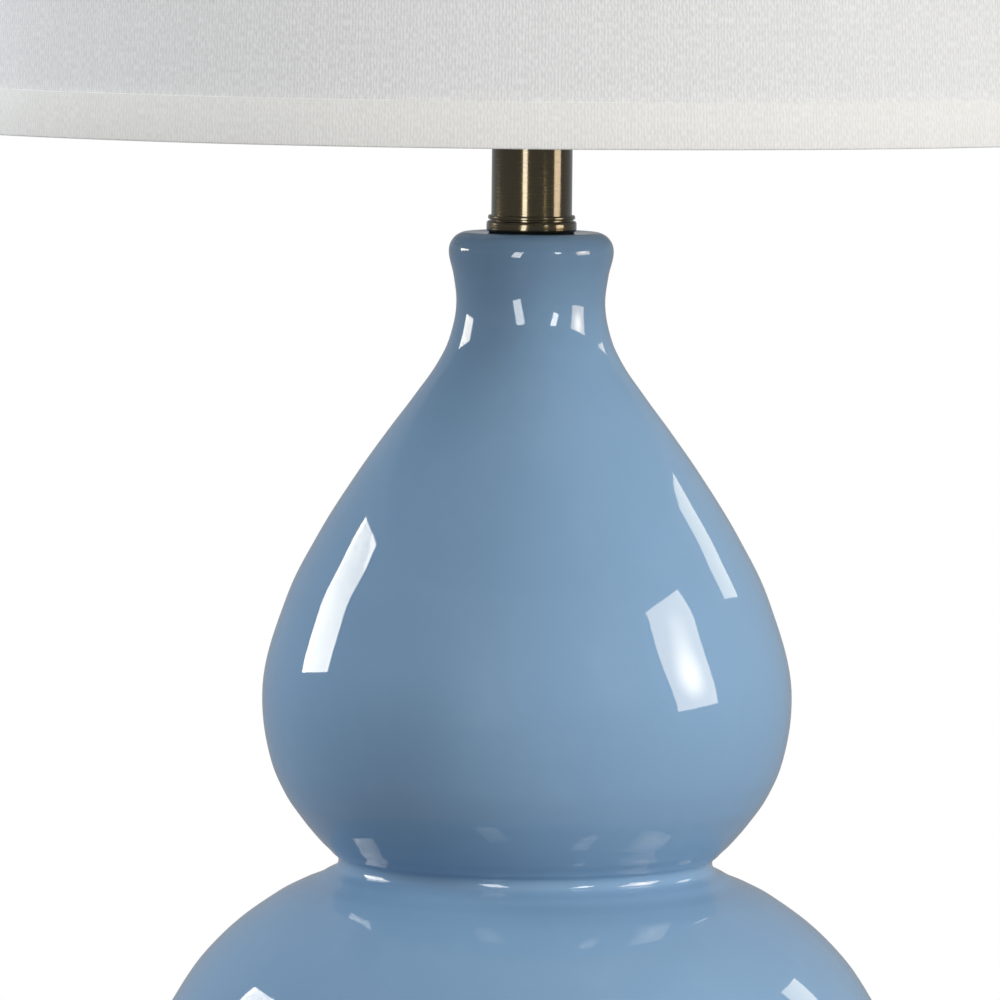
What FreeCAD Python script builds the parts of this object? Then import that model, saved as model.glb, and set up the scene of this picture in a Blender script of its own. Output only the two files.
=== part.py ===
# Double gourd table lamp: a glazed ceramic body of two stacked gourds on a stepped brass base,
# a brass neck with harp and switched socket, and a tapered linen drum shade.
# Millimetres, +Z up, origin at the middle of the underside. The cord leaves the back, +Y.
import FreeCAD, Part
import math
import os
import Sketcher

Vector = FreeCAD.Vector

SIZES = {
    # base
    "felt_thick": 1.5,
    "felt_inset": 0.6,
    "base_radius": 79.0,
    "base_lower_height": 14.5,
    "base_step_setback": 6.0,
    "base_upper_height": 6.5,
    "base_wall": 1.5,
    "base_rounding": 2.2,
    "weight_radius": 52.0,
    "weight_thick": 14.0,
    "weight_recess_radius": 15.0,
    "weight_recess_depth": 7.5,
    # threaded rod and its fasteners
    "rod_radius": 4.85,
    "rod_bore_radius": 3.2,
    "rod_hole_gap": 0.3,
    "rod_tail": 1.0,
    "thread_gap": 0.02,
    "washer_radius": 13.0,
    "washer_thick": 1.5,
    "lock_washer_radius": 8.5,
    "lock_washer_thick": 1.2,
    "nut_across_flats": 14.3,
    "nut_thick": 4.8,
    # cord bushing
    "bushing_height": 6.2,
    "bushing_bore_radius": 3.3,
    "bushing_neck_radius": 4.4,
    "bushing_neck_gap": 0.1,
    "bushing_flange_radius": 5.8,
    "bushing_flange_thick": 1.8,
    "bushing_lip_radius": 5.2,
    "bushing_lip_thick": 1.4,
    # ceramic body
    "gasket_thick": 1.5,
    "foot_radius": 68.0,
    "foot_ring_width": 8.0,
    "foot_recess": 2.0,
    "foot_height": 3.0,
    "lower_radius": 110.0,
    "lower_half_height": 65.0,
    "lower_shoulder_height": 83.3,
    "waist_radius": 51.7,
    "upper_underside_height": 45.9,
    "upper_radius": 73.1,
    "upper_shoulder_height": 109.1,
    "neck_radius": 20.5,
    "flare_radius": 22.7,
    "flare_height": 13.8,
    "lip_width": 4.6,
    "lip_height": 5.3,
    "clay_wall": 5.0,
    "clay_top": 8.0,
    "floor_hole_radius": 9.0,
    "neck_hole_radius": 7.0,
    # neck metalwork
    "neck_gasket_radius": 10.7,
    "neck_gasket_thick": 0.8,
    "ring_radius": 12.4,
    "ring_height": 3.7,
    "ring_rounding": 0.85,
    "ring_web": 1.2,
    "collar_height": 0.7,
    "collar_wall": 0.4,
    "groove_height": 0.3,
    "groove_depth": 0.15,
    "recess_gap": 0.3,
    "tube_radius": 11.1,
    "tube_wall": 0.8,
    "tube_gap": 0.1,
    "tube_length": 34.2,
    "cap_radius": 12.6,
    "cap_thick": 3.0,
    "cap_rounding": 0.9,
    "cap_spigot_depth": 3.0,
    # harp
    "saddle_thick": 1.5,
    "saddle_width": 13.0,
    "saddle_end": 0.6,
    "ear_width": 4.4,
    "ear_thick": 1.2,
    "ear_height": 12.0,
    "harp_leg_x": 34.5,
    "harp_wire_radius": 1.8,
    "harp_foot_gap": 0.5,
    "harp_height": 214.0,
    "harp_straight": 50.0,
    "harp_flare_height": 84.0,
    "harp_half_width": 57.0,
    "harp_shoulder_drop": 52.0,
    "harp_crown_half": 32.0,
    "ear_gap": 0.2,
    "sleeve_height": 15.0,
    "sleeve_wall": 0.7,
    "sleeve_gap": 0.25,
    "sleeve_lip": 1.2,
    "slide_fit": 0.08,
    "stud_boss_radius": 4.6,
    "stud_boss_height": 6.0,
    "stud_flange_radius": 9.0,
    "stud_flange_thick": 1.5,
    "stud_radius": 3.1,
    "stud_length": 12.0,
    # socket
    "socket_radius": 17.2,
    "socket_wall": 0.8,
    "socket_hub_radius": 7.5,
    "socket_hub_height": 7.0,
    "socket_flare_height": 5.0,
    "socket_skirt_height": 11.0,
    "set_screw_radius": 1.5,
    "set_screw_length": 2.4,
    "shell_gap": 0.1,
    "shell_wall": 0.6,
    "shell_lift": 1.0,
    "shell_height": 48.0,
    "insulator_wall": 0.6,
    "insulator_drop": 3.0,
    "core_lift": 2.0,
    "core_height": 22.0,
    "core_gap": 0.15,
    "terminal_height": 9.0,
    "terminal_head_radius": 3.0,
    "terminal_head_thick": 1.6,
    "terminal_pocket_depth": 2.4,
    "terminal_shank_radius": 1.4,
    "terminal_shank_length": 5.0,
    "lamp_thread_radius": 13.1,
    "lamp_thread_gap": 0.3,
    "screw_shell_wall": 0.5,
    "screw_shell_height": 23.0,
    "screw_shell_hole": 7.0,
    "contact_rivet_radius": 1.6,
    "contact_rivet_height": 1.2,
    "contact_length": 9.0,
    "contact_width": 4.0,
    "contact_thick": 0.4,
    # rotary switch
    "switch_height": 15.5,
    "switch_shaft_radius": 2.3,
    "switch_shaft_reach": 31.0,
    "switch_shaft_root": 4.0,
    "switch_hole_gap": 1.2,
    "knob_start": 21.0,
    "knob_length": 15.0,
    "knob_radius": 6.2,
    "knob_flute_radius": 0.9,
    "knob_flutes": 12,
    "knob_dome": 1.4,
    # bulb
    "contact_gap": 0.1,
    "bulb_tip_radius": 4.5,
    "bulb_tip_thick": 1.5,
    "bulb_glass_cone_height": 3.5,
    "bulb_cap_height": 24.0,
    "bulb_cap_wall": 0.5,
    "bulb_glass_gap": 0.3,
    "bulb_glass_wall": 1.0,
    "bulb_neck_start": 8.0,
    "bulb_neck_end": 31.0,
    "bulb_radius": 30.0,
    "bulb_length": 108.0,
    "bulb_stem_radius": 2.6,
    "bulb_stem_height": 40.0,
    "bulb_press_thick": 1.5,
    "filament_radius": 0.4,
    "filament_height": 12.0,
    "filament_half_width": 9.0,
    # shade
    "shade_drop": 16.3,
    "shade_height": 241.3,
    "shade_bottom_radius": 184.0,
    "shade_top_radius": 165.0,
    "fabric_thick": 0.8,
    "lining_thick": 0.5,
    "ply_gap": 0.05,
    "shade_wire_radius": 1.4,
    "wire_gap": 0.15,
    "trim_thick": 0.6,
    "trim_height": 13.7,
    "trim_fold": 6.5,
    "hub_radius": 11.0,
    "hub_thick": 3.2,
    "arm_wire_radius": 1.5,
    "arm_bend_start": 22.0,
    "arm_bend_end": 9.0,
    "arm_notch_gap": 0.4,
    # finial
    "insert_wall": 1.8,
    "insert_height": 9.0,
    "finial_gap": 0.2,
    "finial_press_gap": 0.06,
    "finial_flange_radius": 8.6,
    "finial_flange_height": 2.4,
    "finial_neck_radius": 6.2,
    "finial_neck_height": 9.5,
    "finial_ball_radius": 8.6,
    "finial_ball_lift": 7.2,
    "finial_tip_radius": 2.2,
    "finial_tip_height": 2.6,
}

# Outlines of the swelling clay, read off the side view. Each pair is the share of the height
# travelled away from the widest ring, and the share of the swell that is left there.
FOOT_SHARES = ((0.30, 0.935), (0.55, 0.765), (0.75, 0.54), (0.90, 0.27))
LOWER_SHOULDER_SHARES = ((0.27, 0.946), (0.545, 0.765), (0.714, 0.588), (0.874, 0.305),
                         (0.9135, 0.20), (0.953, 0.077))
UPPER_UNDERSIDE_SHARES = ((0.36, 0.90), (0.58, 0.71), (0.72, 0.51), (0.87, 0.243), (0.94, 0.093))
UPPER_SHOULDER_SHARES = ((0.244, 0.878), (0.396, 0.725), (0.548, 0.531), (0.67, 0.354),
                         (0.761, 0.2135), (0.852, 0.085), (0.913, 0.030))

FLARE_BEND_SHARE = 0.36
LIP_CORNER_SHARES = (0.3, 0.7)

# Where the bulb's ball passes into its neck, and how far its flank keeps each end's direction.
BULB_FLANK_ANGLE = -36.0
BULB_FLANK_SHARE = 0.4

ARM_ANGLES = (90.0, 210.0, 330.0)
BEND_SHARE = 0.45

doc = FreeCAD.newDocument("double_gourd_lamp")
sheet = doc.addObject("Spreadsheet::Sheet", "lamp")
for row, (alias, size) in enumerate(SIZES.items(), start=1):
    sheet.set(f"A{row}", alias)
    sheet.set(f"B{row}", str(size))
    sheet.setAlias(f"B{row}", alias)
doc.recompute()

nodes = []


def value(expression):
    """The number that an expression over the sheet comes to."""
    return float(sheet.evalExpression(expression))


def keep(solid, label):
    """Name a finished sub-part and add it to the list that is written out."""
    solid.Label = label
    nodes.append(solid)
    return solid


def feature(label, shape):
    solid = doc.addObject("Part::Feature", label)
    solid.Shape = shape
    return keep(solid, label)


def place(solid, x="0", y="0", z="0"):
    solid.setExpression("Placement.Base.x", x)
    solid.setExpression("Placement.Base.y", y)
    solid.setExpression("Placement.Base.z", z)
    return solid


def cylinder(name, radius, height, x="0", y="0", z="0", direction=None):
    """A cylinder from its start point along direction, which is +Z unless given."""
    solid = doc.addObject("Part::Cylinder", name)
    solid.setExpression("Radius", radius)
    solid.setExpression("Height", height)
    if direction is not None:
        solid.Placement.Rotation = FreeCAD.Rotation(Vector(0, 0, 1), direction)
    return place(solid, x, y, z)


def box(name, length, width, height, x, y, z):
    solid = doc.addObject("Part::Box", name)
    solid.setExpression("Length", length)
    solid.setExpression("Width", width)
    solid.setExpression("Height", height)
    return place(solid, x, y, z)


def cut(name, base, *tools):
    """Base less each tool in turn."""
    result = base
    for number, tool in enumerate(tools, start=1):
        difference = doc.addObject("Part::Cut", f"{name}_cut_{number}")
        difference.Base = result
        difference.Tool = tool
        result = difference
    return result


def fuse(name, *solids):
    joined = doc.addObject("Part::MultiFuse", f"{name}_joined")
    joined.Shapes = list(solids)
    return joined


def group(name, *solids):
    together = doc.addObject("Part::Compound", f"{name}_group")
    together.Links = list(solids)
    return together


def origin_plane(body, role):
    return next(item for item in body.Origin.OriginFeatures if item.Role == role)


def turned(name, corners):
    """A body turned about Z from a closed outline of (radius, height) expressions."""
    body = doc.addObject("PartDesign::Body", name)
    outline = body.newObject("Sketcher::SketchObject", f"{name}_outline")
    outline.AttachmentSupport = [(origin_plane(body, "XZ_Plane"), "")]
    outline.MapMode = "FlatFace"
    points = [Vector(value(radius), value(height), 0) for radius, height in corners]
    count = len(points)
    for index, start in enumerate(points):
        outline.addGeometry(Part.LineSegment(start, points[(index + 1) % count]), False)
    for index in range(count):
        outline.addConstraint(Sketcher.Constraint("Coincident", index, 2, (index + 1) % count, 1))
    for index, (radius, height) in enumerate(corners):
        if radius == "0":
            outline.addConstraint(Sketcher.Constraint("PointOnObject", index, 1, -2))
        else:
            pin(outline, "DistanceX", index, points[index].x, f"radius_{index}", radius)
        pin(outline, "DistanceY", index, points[index].y, f"height_{index}", height)
    turn = body.newObject("PartDesign::Revolution", f"{name}_turning")
    turn.Profile = outline
    turn.ReferenceAxis = (outline, ["V_Axis"])
    turn.Angle = 360
    return body


def pin(outline, kind, index, size, label, expression):
    """Bind one coordinate of a sketch line's start point to an expression."""
    number = outline.addConstraint(Sketcher.Constraint(kind, -1, 1, index, 1, size))
    outline.renameConstraint(number, label)
    outline.setExpression(f"Constraints.{label}", expression)


def round_sketch(body, name, radius, offset=None):
    """A circle in a body's own XY plane, on its axis or offset along X."""
    sketch = body.newObject("Sketcher::SketchObject", name)
    sketch.AttachmentSupport = [(origin_plane(body, "XY_Plane"), "")]
    sketch.MapMode = "FlatFace"
    centre = Vector(value(offset) if offset else 0, 0, 0)
    sketch.addGeometry(Part.Circle(centre, Vector(0, 0, 1), value(radius)), False)
    bound = sketch.addConstraint(Sketcher.Constraint("Radius", 0, value(radius)))
    sketch.renameConstraint(bound, "radius")
    sketch.setExpression("Constraints.radius", radius)
    if offset is None:
        sketch.addConstraint(Sketcher.Constraint("Coincident", 0, 3, -1, 1))
    else:
        sketch.addConstraint(Sketcher.Constraint("PointOnObject", 0, 3, -1))
        bound = sketch.addConstraint(Sketcher.Constraint("DistanceX", -1, 1, 0, 3, centre.x))
        sketch.renameConstraint(bound, "offset")
        sketch.setExpression("Constraints.offset", offset)
    return sketch


def round_rims(body, radius, rims):
    """Round the circular edges of a turned body that lie at the given (radius, height) pairs."""
    doc.recompute()
    shape = body.Tip.Shape
    wanted = [(value(rim_radius), value(height)) for rim_radius, height in rims]
    names = []
    for number, edge in enumerate(shape.Edges, start=1):
        curve = edge.Curve
        if not isinstance(curve, Part.Circle):
            continue
        if any(math.hypot(curve.Radius - r, curve.Center.z - z) < 0.001 for r, z in wanted):
            names.append(f"Edge{number}")
    tip = body.Tip
    rounding = body.newObject("PartDesign::Fillet", f"{body.Name}_rounding")
    rounding.Base = (tip, names)
    rounding.setExpression("Radius", radius)
    return body


def nut(name, height):
    """A hexagon nut on the rod, its underside at the given height."""
    blank = doc.addObject("Part::Prism", f"{name}_blank")
    blank.Polygon = 6
    blank.setExpression("Circumradius", "lamp.nut_across_flats / sqrt(3)")
    blank.setExpression("Height", "lamp.nut_thick")
    place(blank, z=height)
    hole = cylinder(f"{name}_hole", "lamp.rod_radius + lamp.thread_gap", "lamp.nut_thick", z=height)
    return cut(name, blank, hole)


def ring_plate(name, inner, outer, thick, height):
    """A flat ring, its underside at the given height."""
    disc = cylinder(f"{name}_disc", outer, thick, z=height)
    hole = cylinder(f"{name}_hole", inner, thick, z=height)
    return cut(name, disc, hole)


def bent_path(points):
    """Straight runs through the points, joined by tangent arcs as large as the runs allow."""
    edges = []
    start = points[0]
    for before, corner, after in zip(points, points[1:], points[2:]):
        arrive = (corner - before).normalize()
        leave = (after - corner).normalize()
        turn = arrive.getAngle(leave)
        back = BEND_SHARE * min(before.distanceToPoint(corner), corner.distanceToPoint(after))
        radius = back / math.tan(turn / 2)
        first = corner - arrive * back
        last = corner + leave * back
        inward = (leave - arrive).normalize()
        middle = corner + inward * (radius / math.cos(turn / 2) - radius)
        edges.append(Part.LineSegment(start, first).toShape())
        edges.append(Part.Arc(first, middle, last).toShape())
        start = last
    edges.append(Part.LineSegment(start, points[-1]).toShape())
    return Part.Wire(edges)


def bent_wire(points, radius):
    """A round wire of the given radius along a bent path."""
    path = bent_path(points)
    along = points[1] - points[0]
    section = Part.Wire(Part.makeCircle(radius, points[0], along))
    return path.makePipeShell([section], True, False)


# Heights of the stack, each from the one below it.
FELT_TOP = "lamp.felt_thick"
STEP_TOP = f"({FELT_TOP} + lamp.base_lower_height)"
BASE_TOP = f"({STEP_TOP} + lamp.base_upper_height)"
FOOT = f"({BASE_TOP} + lamp.gasket_thick)"
LOWER_START = f"({FOOT} + lamp.foot_height)"
LOWER_WIDEST = f"({LOWER_START} + lamp.lower_half_height)"
WAIST = f"({LOWER_WIDEST} + lamp.lower_shoulder_height)"
UPPER_WIDEST = f"({WAIST} + lamp.upper_underside_height)"
NECK = f"({UPPER_WIDEST} + lamp.upper_shoulder_height)"
FLARE = f"({NECK} + lamp.flare_height)"
CLAY_TOP = f"({FLARE} + lamp.lip_height)"
TUBE_SEAT = f"({CLAY_TOP} + lamp.neck_gasket_thick + lamp.ring_web)"
TUBE_TOP = f"({TUBE_SEAT} + lamp.tube_length)"
CAP_TOP = f"({TUBE_TOP} + lamp.cap_thick)"
SADDLE_TOP = f"({CAP_TOP} + lamp.saddle_thick)"
SOCKET = f"({SADDLE_TOP} + lamp.nut_thick)"
HUB_TOP = f"({SOCKET} + lamp.socket_hub_height)"
SKIRT = f"({HUB_TOP} + lamp.socket_flare_height)"
SKIRT_TOP = f"({SKIRT} + lamp.socket_skirt_height)"
SHELL = f"({SKIRT} + lamp.shell_lift)"
SHELL_TOP = f"({SHELL} + lamp.shell_height)"
CORE = f"({SHELL} + lamp.core_lift)"
CORE_TOP = f"({CORE} + lamp.core_height)"
TERMINAL = f"({CORE} + lamp.terminal_height)"
SWITCH = f"({SHELL} + lamp.switch_height)"
HARP_SEAT = f"({SADDLE_TOP} + lamp.harp_height)"
SHADE_TOP = f"({HARP_SEAT} + lamp.shade_drop)"
SHADE_BOTTOM = f"({SHADE_TOP} - lamp.shade_height)"

# Underside of the base: washers and nut hang in the weight's recess, the rod's end below them.
PLATE_UNDERSIDE = f"({BASE_TOP} - lamp.base_wall)"
WEIGHT = f"({PLATE_UNDERSIDE} - lamp.weight_thick)"
RECESS_TOP = f"({WEIGHT} + lamp.weight_recess_depth)"
WASHER = f"({RECESS_TOP} - lamp.washer_thick)"
LOCK_WASHER = f"({WASHER} - lamp.lock_washer_thick)"
BASE_NUT = f"({LOCK_WASHER} - lamp.nut_thick)"
ROD_END = f"({BASE_NUT} - lamp.rod_tail)"
ROD_TOP = f"({HUB_TOP} + lamp.socket_wall)"

ROD_HOLE = "(lamp.rod_radius + lamp.rod_hole_gap)"
ROD_THREAD = "(lamp.rod_radius + lamp.thread_gap)"
BACK = Vector(0, 1, 0)
FRONT = Vector(0, -1, 0)


def make_base():
    """Felt, the spun brass shell with its step, and the iron weight that steadies it."""
    keep(cylinder("felt", "lamp.base_radius - lamp.felt_inset", "lamp.felt_thick"), "felt_pad")

    step_radius = "(lamp.base_radius - lamp.base_step_setback)"
    shell = turned("base_shell", [
        (ROD_HOLE, BASE_TOP),
        (step_radius, BASE_TOP),
        (step_radius, STEP_TOP),
        ("lamp.base_radius", STEP_TOP),
        ("lamp.base_radius", FELT_TOP),
        ("lamp.base_radius - lamp.base_wall", FELT_TOP),
        ("lamp.base_radius - lamp.base_wall", f"{STEP_TOP} - lamp.base_wall"),
        (f"{step_radius} - lamp.base_wall", f"{STEP_TOP} - lamp.base_wall"),
        (f"{step_radius} - lamp.base_wall", PLATE_UNDERSIDE),
        (ROD_HOLE, PLATE_UNDERSIDE),
    ])
    round_rims(shell, "lamp.base_rounding", [
        (step_radius, BASE_TOP),
        ("lamp.base_radius", STEP_TOP),
    ])
    cord_hole = cylinder(
        "cord_hole", "lamp.bushing_neck_radius + lamp.bushing_neck_gap", "lamp.base_wall * 3",
        y="lamp.base_radius - lamp.base_wall * 2", z=f"{FELT_TOP} + lamp.bushing_height", direction=BACK)
    keep(cut("base_plate", shell, cord_hole), "base_plate")

    disc = cylinder("weight_disc", "lamp.weight_radius", "lamp.weight_thick", z=WEIGHT)
    recess = cylinder("weight_recess", "lamp.weight_recess_radius", "lamp.weight_recess_depth", z=WEIGHT)
    hole = cylinder("weight_hole", ROD_HOLE, "lamp.weight_thick", z=WEIGHT)
    keep(cut("base_weight", disc, recess, hole), "base_weight")


def make_cord_bushing():
    """The snap-in bushing at the back of the base, a flange outside and a lip inside the wall."""
    height = f"{FELT_TOP} + lamp.bushing_height"
    lip_face = "(sqrt(pow(lamp.base_radius - lamp.base_wall; 2) - pow(lamp.bushing_lip_radius; 2))" \
               " - lamp.bushing_neck_gap)"
    lip_end = f"({lip_face} - lamp.bushing_lip_thick)"
    outer_end = "(lamp.base_radius + lamp.bushing_flange_thick)"
    length = f"{outer_end} - {lip_end}"
    flange = cylinder("bushing_flange", "lamp.bushing_flange_radius", "lamp.bushing_flange_thick",
                      y="lamp.base_radius", z=height, direction=BACK)
    neck = cylinder("bushing_neck", "lamp.bushing_neck_radius", length, y=lip_end, z=height, direction=BACK)
    lip = cylinder("bushing_lip", "lamp.bushing_lip_radius", "lamp.bushing_lip_thick",
                   y=lip_end, z=height, direction=BACK)
    bore = cylinder("bushing_bore", "lamp.bushing_bore_radius", length, y=lip_end, z=height, direction=BACK)
    keep(cut("cord_bushing", fuse("bushing", flange, neck, lip), bore), "cord_bushing")


def make_rod():
    """The hollow rod that clamps the stack together, with its washers and nuts."""
    length = f"{ROD_TOP} - {ROD_END}"
    bar = cylinder("rod_bar", "lamp.rod_radius", length, z=ROD_END)
    bore = cylinder("rod_bore", "lamp.rod_bore_radius", length, z=ROD_END)
    keep(cut("threaded_rod", bar, bore), "threaded_rod")
    keep(ring_plate("washer", ROD_HOLE, "lamp.washer_radius", "lamp.washer_thick", WASHER), "base_washer")
    keep(ring_plate("spring_washer", ROD_HOLE, "lamp.lock_washer_radius", "lamp.lock_washer_thick",
                    LOCK_WASHER), "base_lock_washer")
    keep(nut("bottom_nut", BASE_NUT), "base_nut")
    keep(nut("top_nut", SADDLE_TOP), "saddle_nut")


def swell(shares, wide_radius, wide_height, narrow_radius, narrow_height):
    """Points of one swell from its widest ring to its narrow ring, both included."""
    points = [Vector(wide_radius, 0, wide_height)]
    for travelled, left in shares:
        points.append(Vector(
            narrow_radius + left * (wide_radius - narrow_radius), 0,
            wide_height + travelled * (narrow_height - wide_height)))
    points.append(Vector(narrow_radius, 0, narrow_height))
    return points


def smooth(points, start, end):
    """A curve through the points, leaving and arriving along the given directions."""
    curve = Part.BSplineCurve()
    curve.interpolate(Points=points, InitialTangent=start, FinalTangent=end)
    return curve


def inside(curve, points, wall):
    """The points moved square to the curve, towards the axis, by the wall's thickness."""
    moved = []
    for point in points:
        along = curve.tangent(curve.parameter(point))[0]
        square = Vector(-along.z, 0, along.x)
        if square.x > 0:
            square = -square
        moved.append(point + square * wall)
    return moved


def make_gourd():
    """The slip-cast body: two swells, a tight waist, a flared neck, one hollow inside."""
    up = Vector(0, 0, 1)
    down = Vector(0, 0, -1)
    wall = value("lamp.clay_wall")
    foot = value(FOOT)
    clay_top = value(CLAY_TOP)
    foot_radius = value("lamp.foot_radius")
    waist_radius = value("lamp.waist_radius")
    neck_radius = value("lamp.neck_radius")
    lower = (value("lamp.lower_radius"), value(LOWER_WIDEST))
    upper = (value("lamp.upper_radius"), value(UPPER_WIDEST))

    foot_points = swell(FOOT_SHARES, *lower, foot_radius, value(LOWER_START))
    lower_points = swell(LOWER_SHOULDER_SHARES, *lower, waist_radius, value(WAIST))
    underside_points = swell(UPPER_UNDERSIDE_SHARES, *upper, waist_radius, value(WAIST))
    shoulder_points = swell(UPPER_SHOULDER_SHARES, *upper, neck_radius, value(NECK))
    under = foot_points[-1] - foot_points[-2]
    foot_curve = smooth(foot_points, start=down, end=under)
    lower_curve = smooth(lower_points, start=up, end=up)
    underside_curve = smooth(underside_points, start=down, end=down)
    shoulder_curve = smooth(shoulder_points, start=up, end=up)

    neck_point = shoulder_points[-1]
    flare_point = Vector(value("lamp.flare_radius"), 0, value(FLARE))
    half_flare = Vector(neck_point.x + FLARE_BEND_SHARE * (flare_point.x - neck_point.x), 0,
                        (neck_point.z + flare_point.z) / 2)
    flare_curve = smooth([neck_point, half_flare, flare_point], start=up, end=up)
    lip_point = Vector(flare_point.x - value("lamp.lip_width"), 0, clay_top)
    corner_in, corner_up = LIP_CORNER_SHARES
    lip_corner = Vector(flare_point.x - corner_in * value("lamp.lip_width"), 0,
                        flare_point.z + corner_up * value("lamp.lip_height"))
    lip_curve = smooth([flare_point, lip_corner, lip_point], start=up, end=Vector(-1, 0, 0))

    inner_foot = inside(foot_curve, foot_points, wall)
    inner_foot_curve = smooth(inner_foot, start=down, end=under)
    inner_lower_curve = smooth(inside(lower_curve, lower_points, wall), start=up, end=up)
    inner_underside_curve = smooth(inside(underside_curve, underside_points, wall), start=down, end=down)
    inner_shoulder_curve = smooth(inside(shoulder_curve, shoulder_points, wall), start=up, end=up)

    floor_hole = value("lamp.floor_hole_radius")
    neck_hole = value("lamp.neck_hole_radius")
    recess_radius = foot_radius - value("lamp.foot_ring_width")
    recess_height = foot + value("lamp.foot_recess")
    cavity_top = clay_top - value("lamp.clay_top")
    floor = inner_foot[-1].z
    corners = [
        Vector(neck_radius - wall, 0, value(NECK)),
        Vector(neck_radius - wall, 0, cavity_top),
        Vector(neck_hole, 0, cavity_top),
        Vector(neck_hole, 0, clay_top),
        lip_point,
    ]
    bottom = [
        inner_foot[-1],
        Vector(floor_hole, 0, floor),
        Vector(floor_hole, 0, recess_height),
        Vector(recess_radius, 0, recess_height),
        Vector(recess_radius, 0, foot),
        Vector(foot_radius, 0, foot),
        foot_points[-1],
    ]
    curves = [foot_curve, lower_curve, underside_curve, shoulder_curve, flare_curve, lip_curve,
              inner_foot_curve, inner_lower_curve, inner_underside_curve, inner_shoulder_curve]
    edges = [curve.toShape() for curve in curves]
    for run in (corners, bottom):
        for start, end in zip(run, run[1:]):
            edges.append(Part.LineSegment(start, end).toShape())
    outline = Part.Wire(Part.__sortEdges__(edges))
    clay = Part.Face(outline).revolve(Vector(0, 0, 0), up, 360)
    feature("gourd_body", clay)

    ring_inner = "lamp.foot_radius - lamp.foot_ring_width"
    keep(ring_plate("gasket", ring_inner, "lamp.foot_radius", "lamp.gasket_thick", BASE_TOP), "foot_gasket")


def make_neck():
    """Gasket, the rounded ring with its fine groove, the tube standing in it, and the tube's cap."""
    keep(ring_plate("neck_washer", ROD_HOLE, "lamp.neck_gasket_radius", "lamp.neck_gasket_thick", CLAY_TOP),
         "neck_gasket")

    recess = "(lamp.neck_gasket_radius + lamp.recess_gap)"
    recess_top = f"({CLAY_TOP} + lamp.neck_gasket_thick)"
    bulge_top = f"({CLAY_TOP} + lamp.ring_height)"
    groove_top = f"({bulge_top} + lamp.groove_height)"
    collar_top = f"({groove_top} + lamp.collar_height)"
    seat = "(lamp.tube_radius + lamp.tube_gap)"
    collar = f"({seat} + lamp.collar_wall)"
    ring = turned("ring", [
        (ROD_HOLE, recess_top),
        (recess, recess_top),
        (recess, CLAY_TOP),
        ("lamp.ring_radius", CLAY_TOP),
        ("lamp.ring_radius", bulge_top),
        (f"{collar} - lamp.groove_depth", bulge_top),
        (f"{collar} - lamp.groove_depth", groove_top),
        (collar, groove_top),
        (collar, collar_top),
        (seat, collar_top),
        (seat, TUBE_SEAT),
        (ROD_HOLE, TUBE_SEAT),
    ])
    round_rims(ring, "lamp.ring_rounding", [
        ("lamp.ring_radius", CLAY_TOP),
        ("lamp.ring_radius", bulge_top),
    ])
    keep(ring, "seat_ring")

    bore = "lamp.tube_radius - lamp.tube_wall"
    keep(ring_plate("tube", bore, "lamp.tube_radius", "lamp.tube_length", TUBE_SEAT), "neck_tube")

    spigot = f"({bore} - lamp.tube_gap)"
    spigot_end = f"({TUBE_TOP} - lamp.cap_spigot_depth)"
    cap = turned("cap", [
        (ROD_HOLE, spigot_end),
        (spigot, spigot_end),
        (spigot, TUBE_TOP),
        ("lamp.cap_radius", TUBE_TOP),
        ("lamp.cap_radius", CAP_TOP),
        (ROD_HOLE, CAP_TOP),
    ])
    round_rims(cap, "lamp.cap_rounding", [("lamp.cap_radius", TUBE_TOP), ("lamp.cap_radius", CAP_TOP)])
    keep(cap, "tube_cap")


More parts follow.
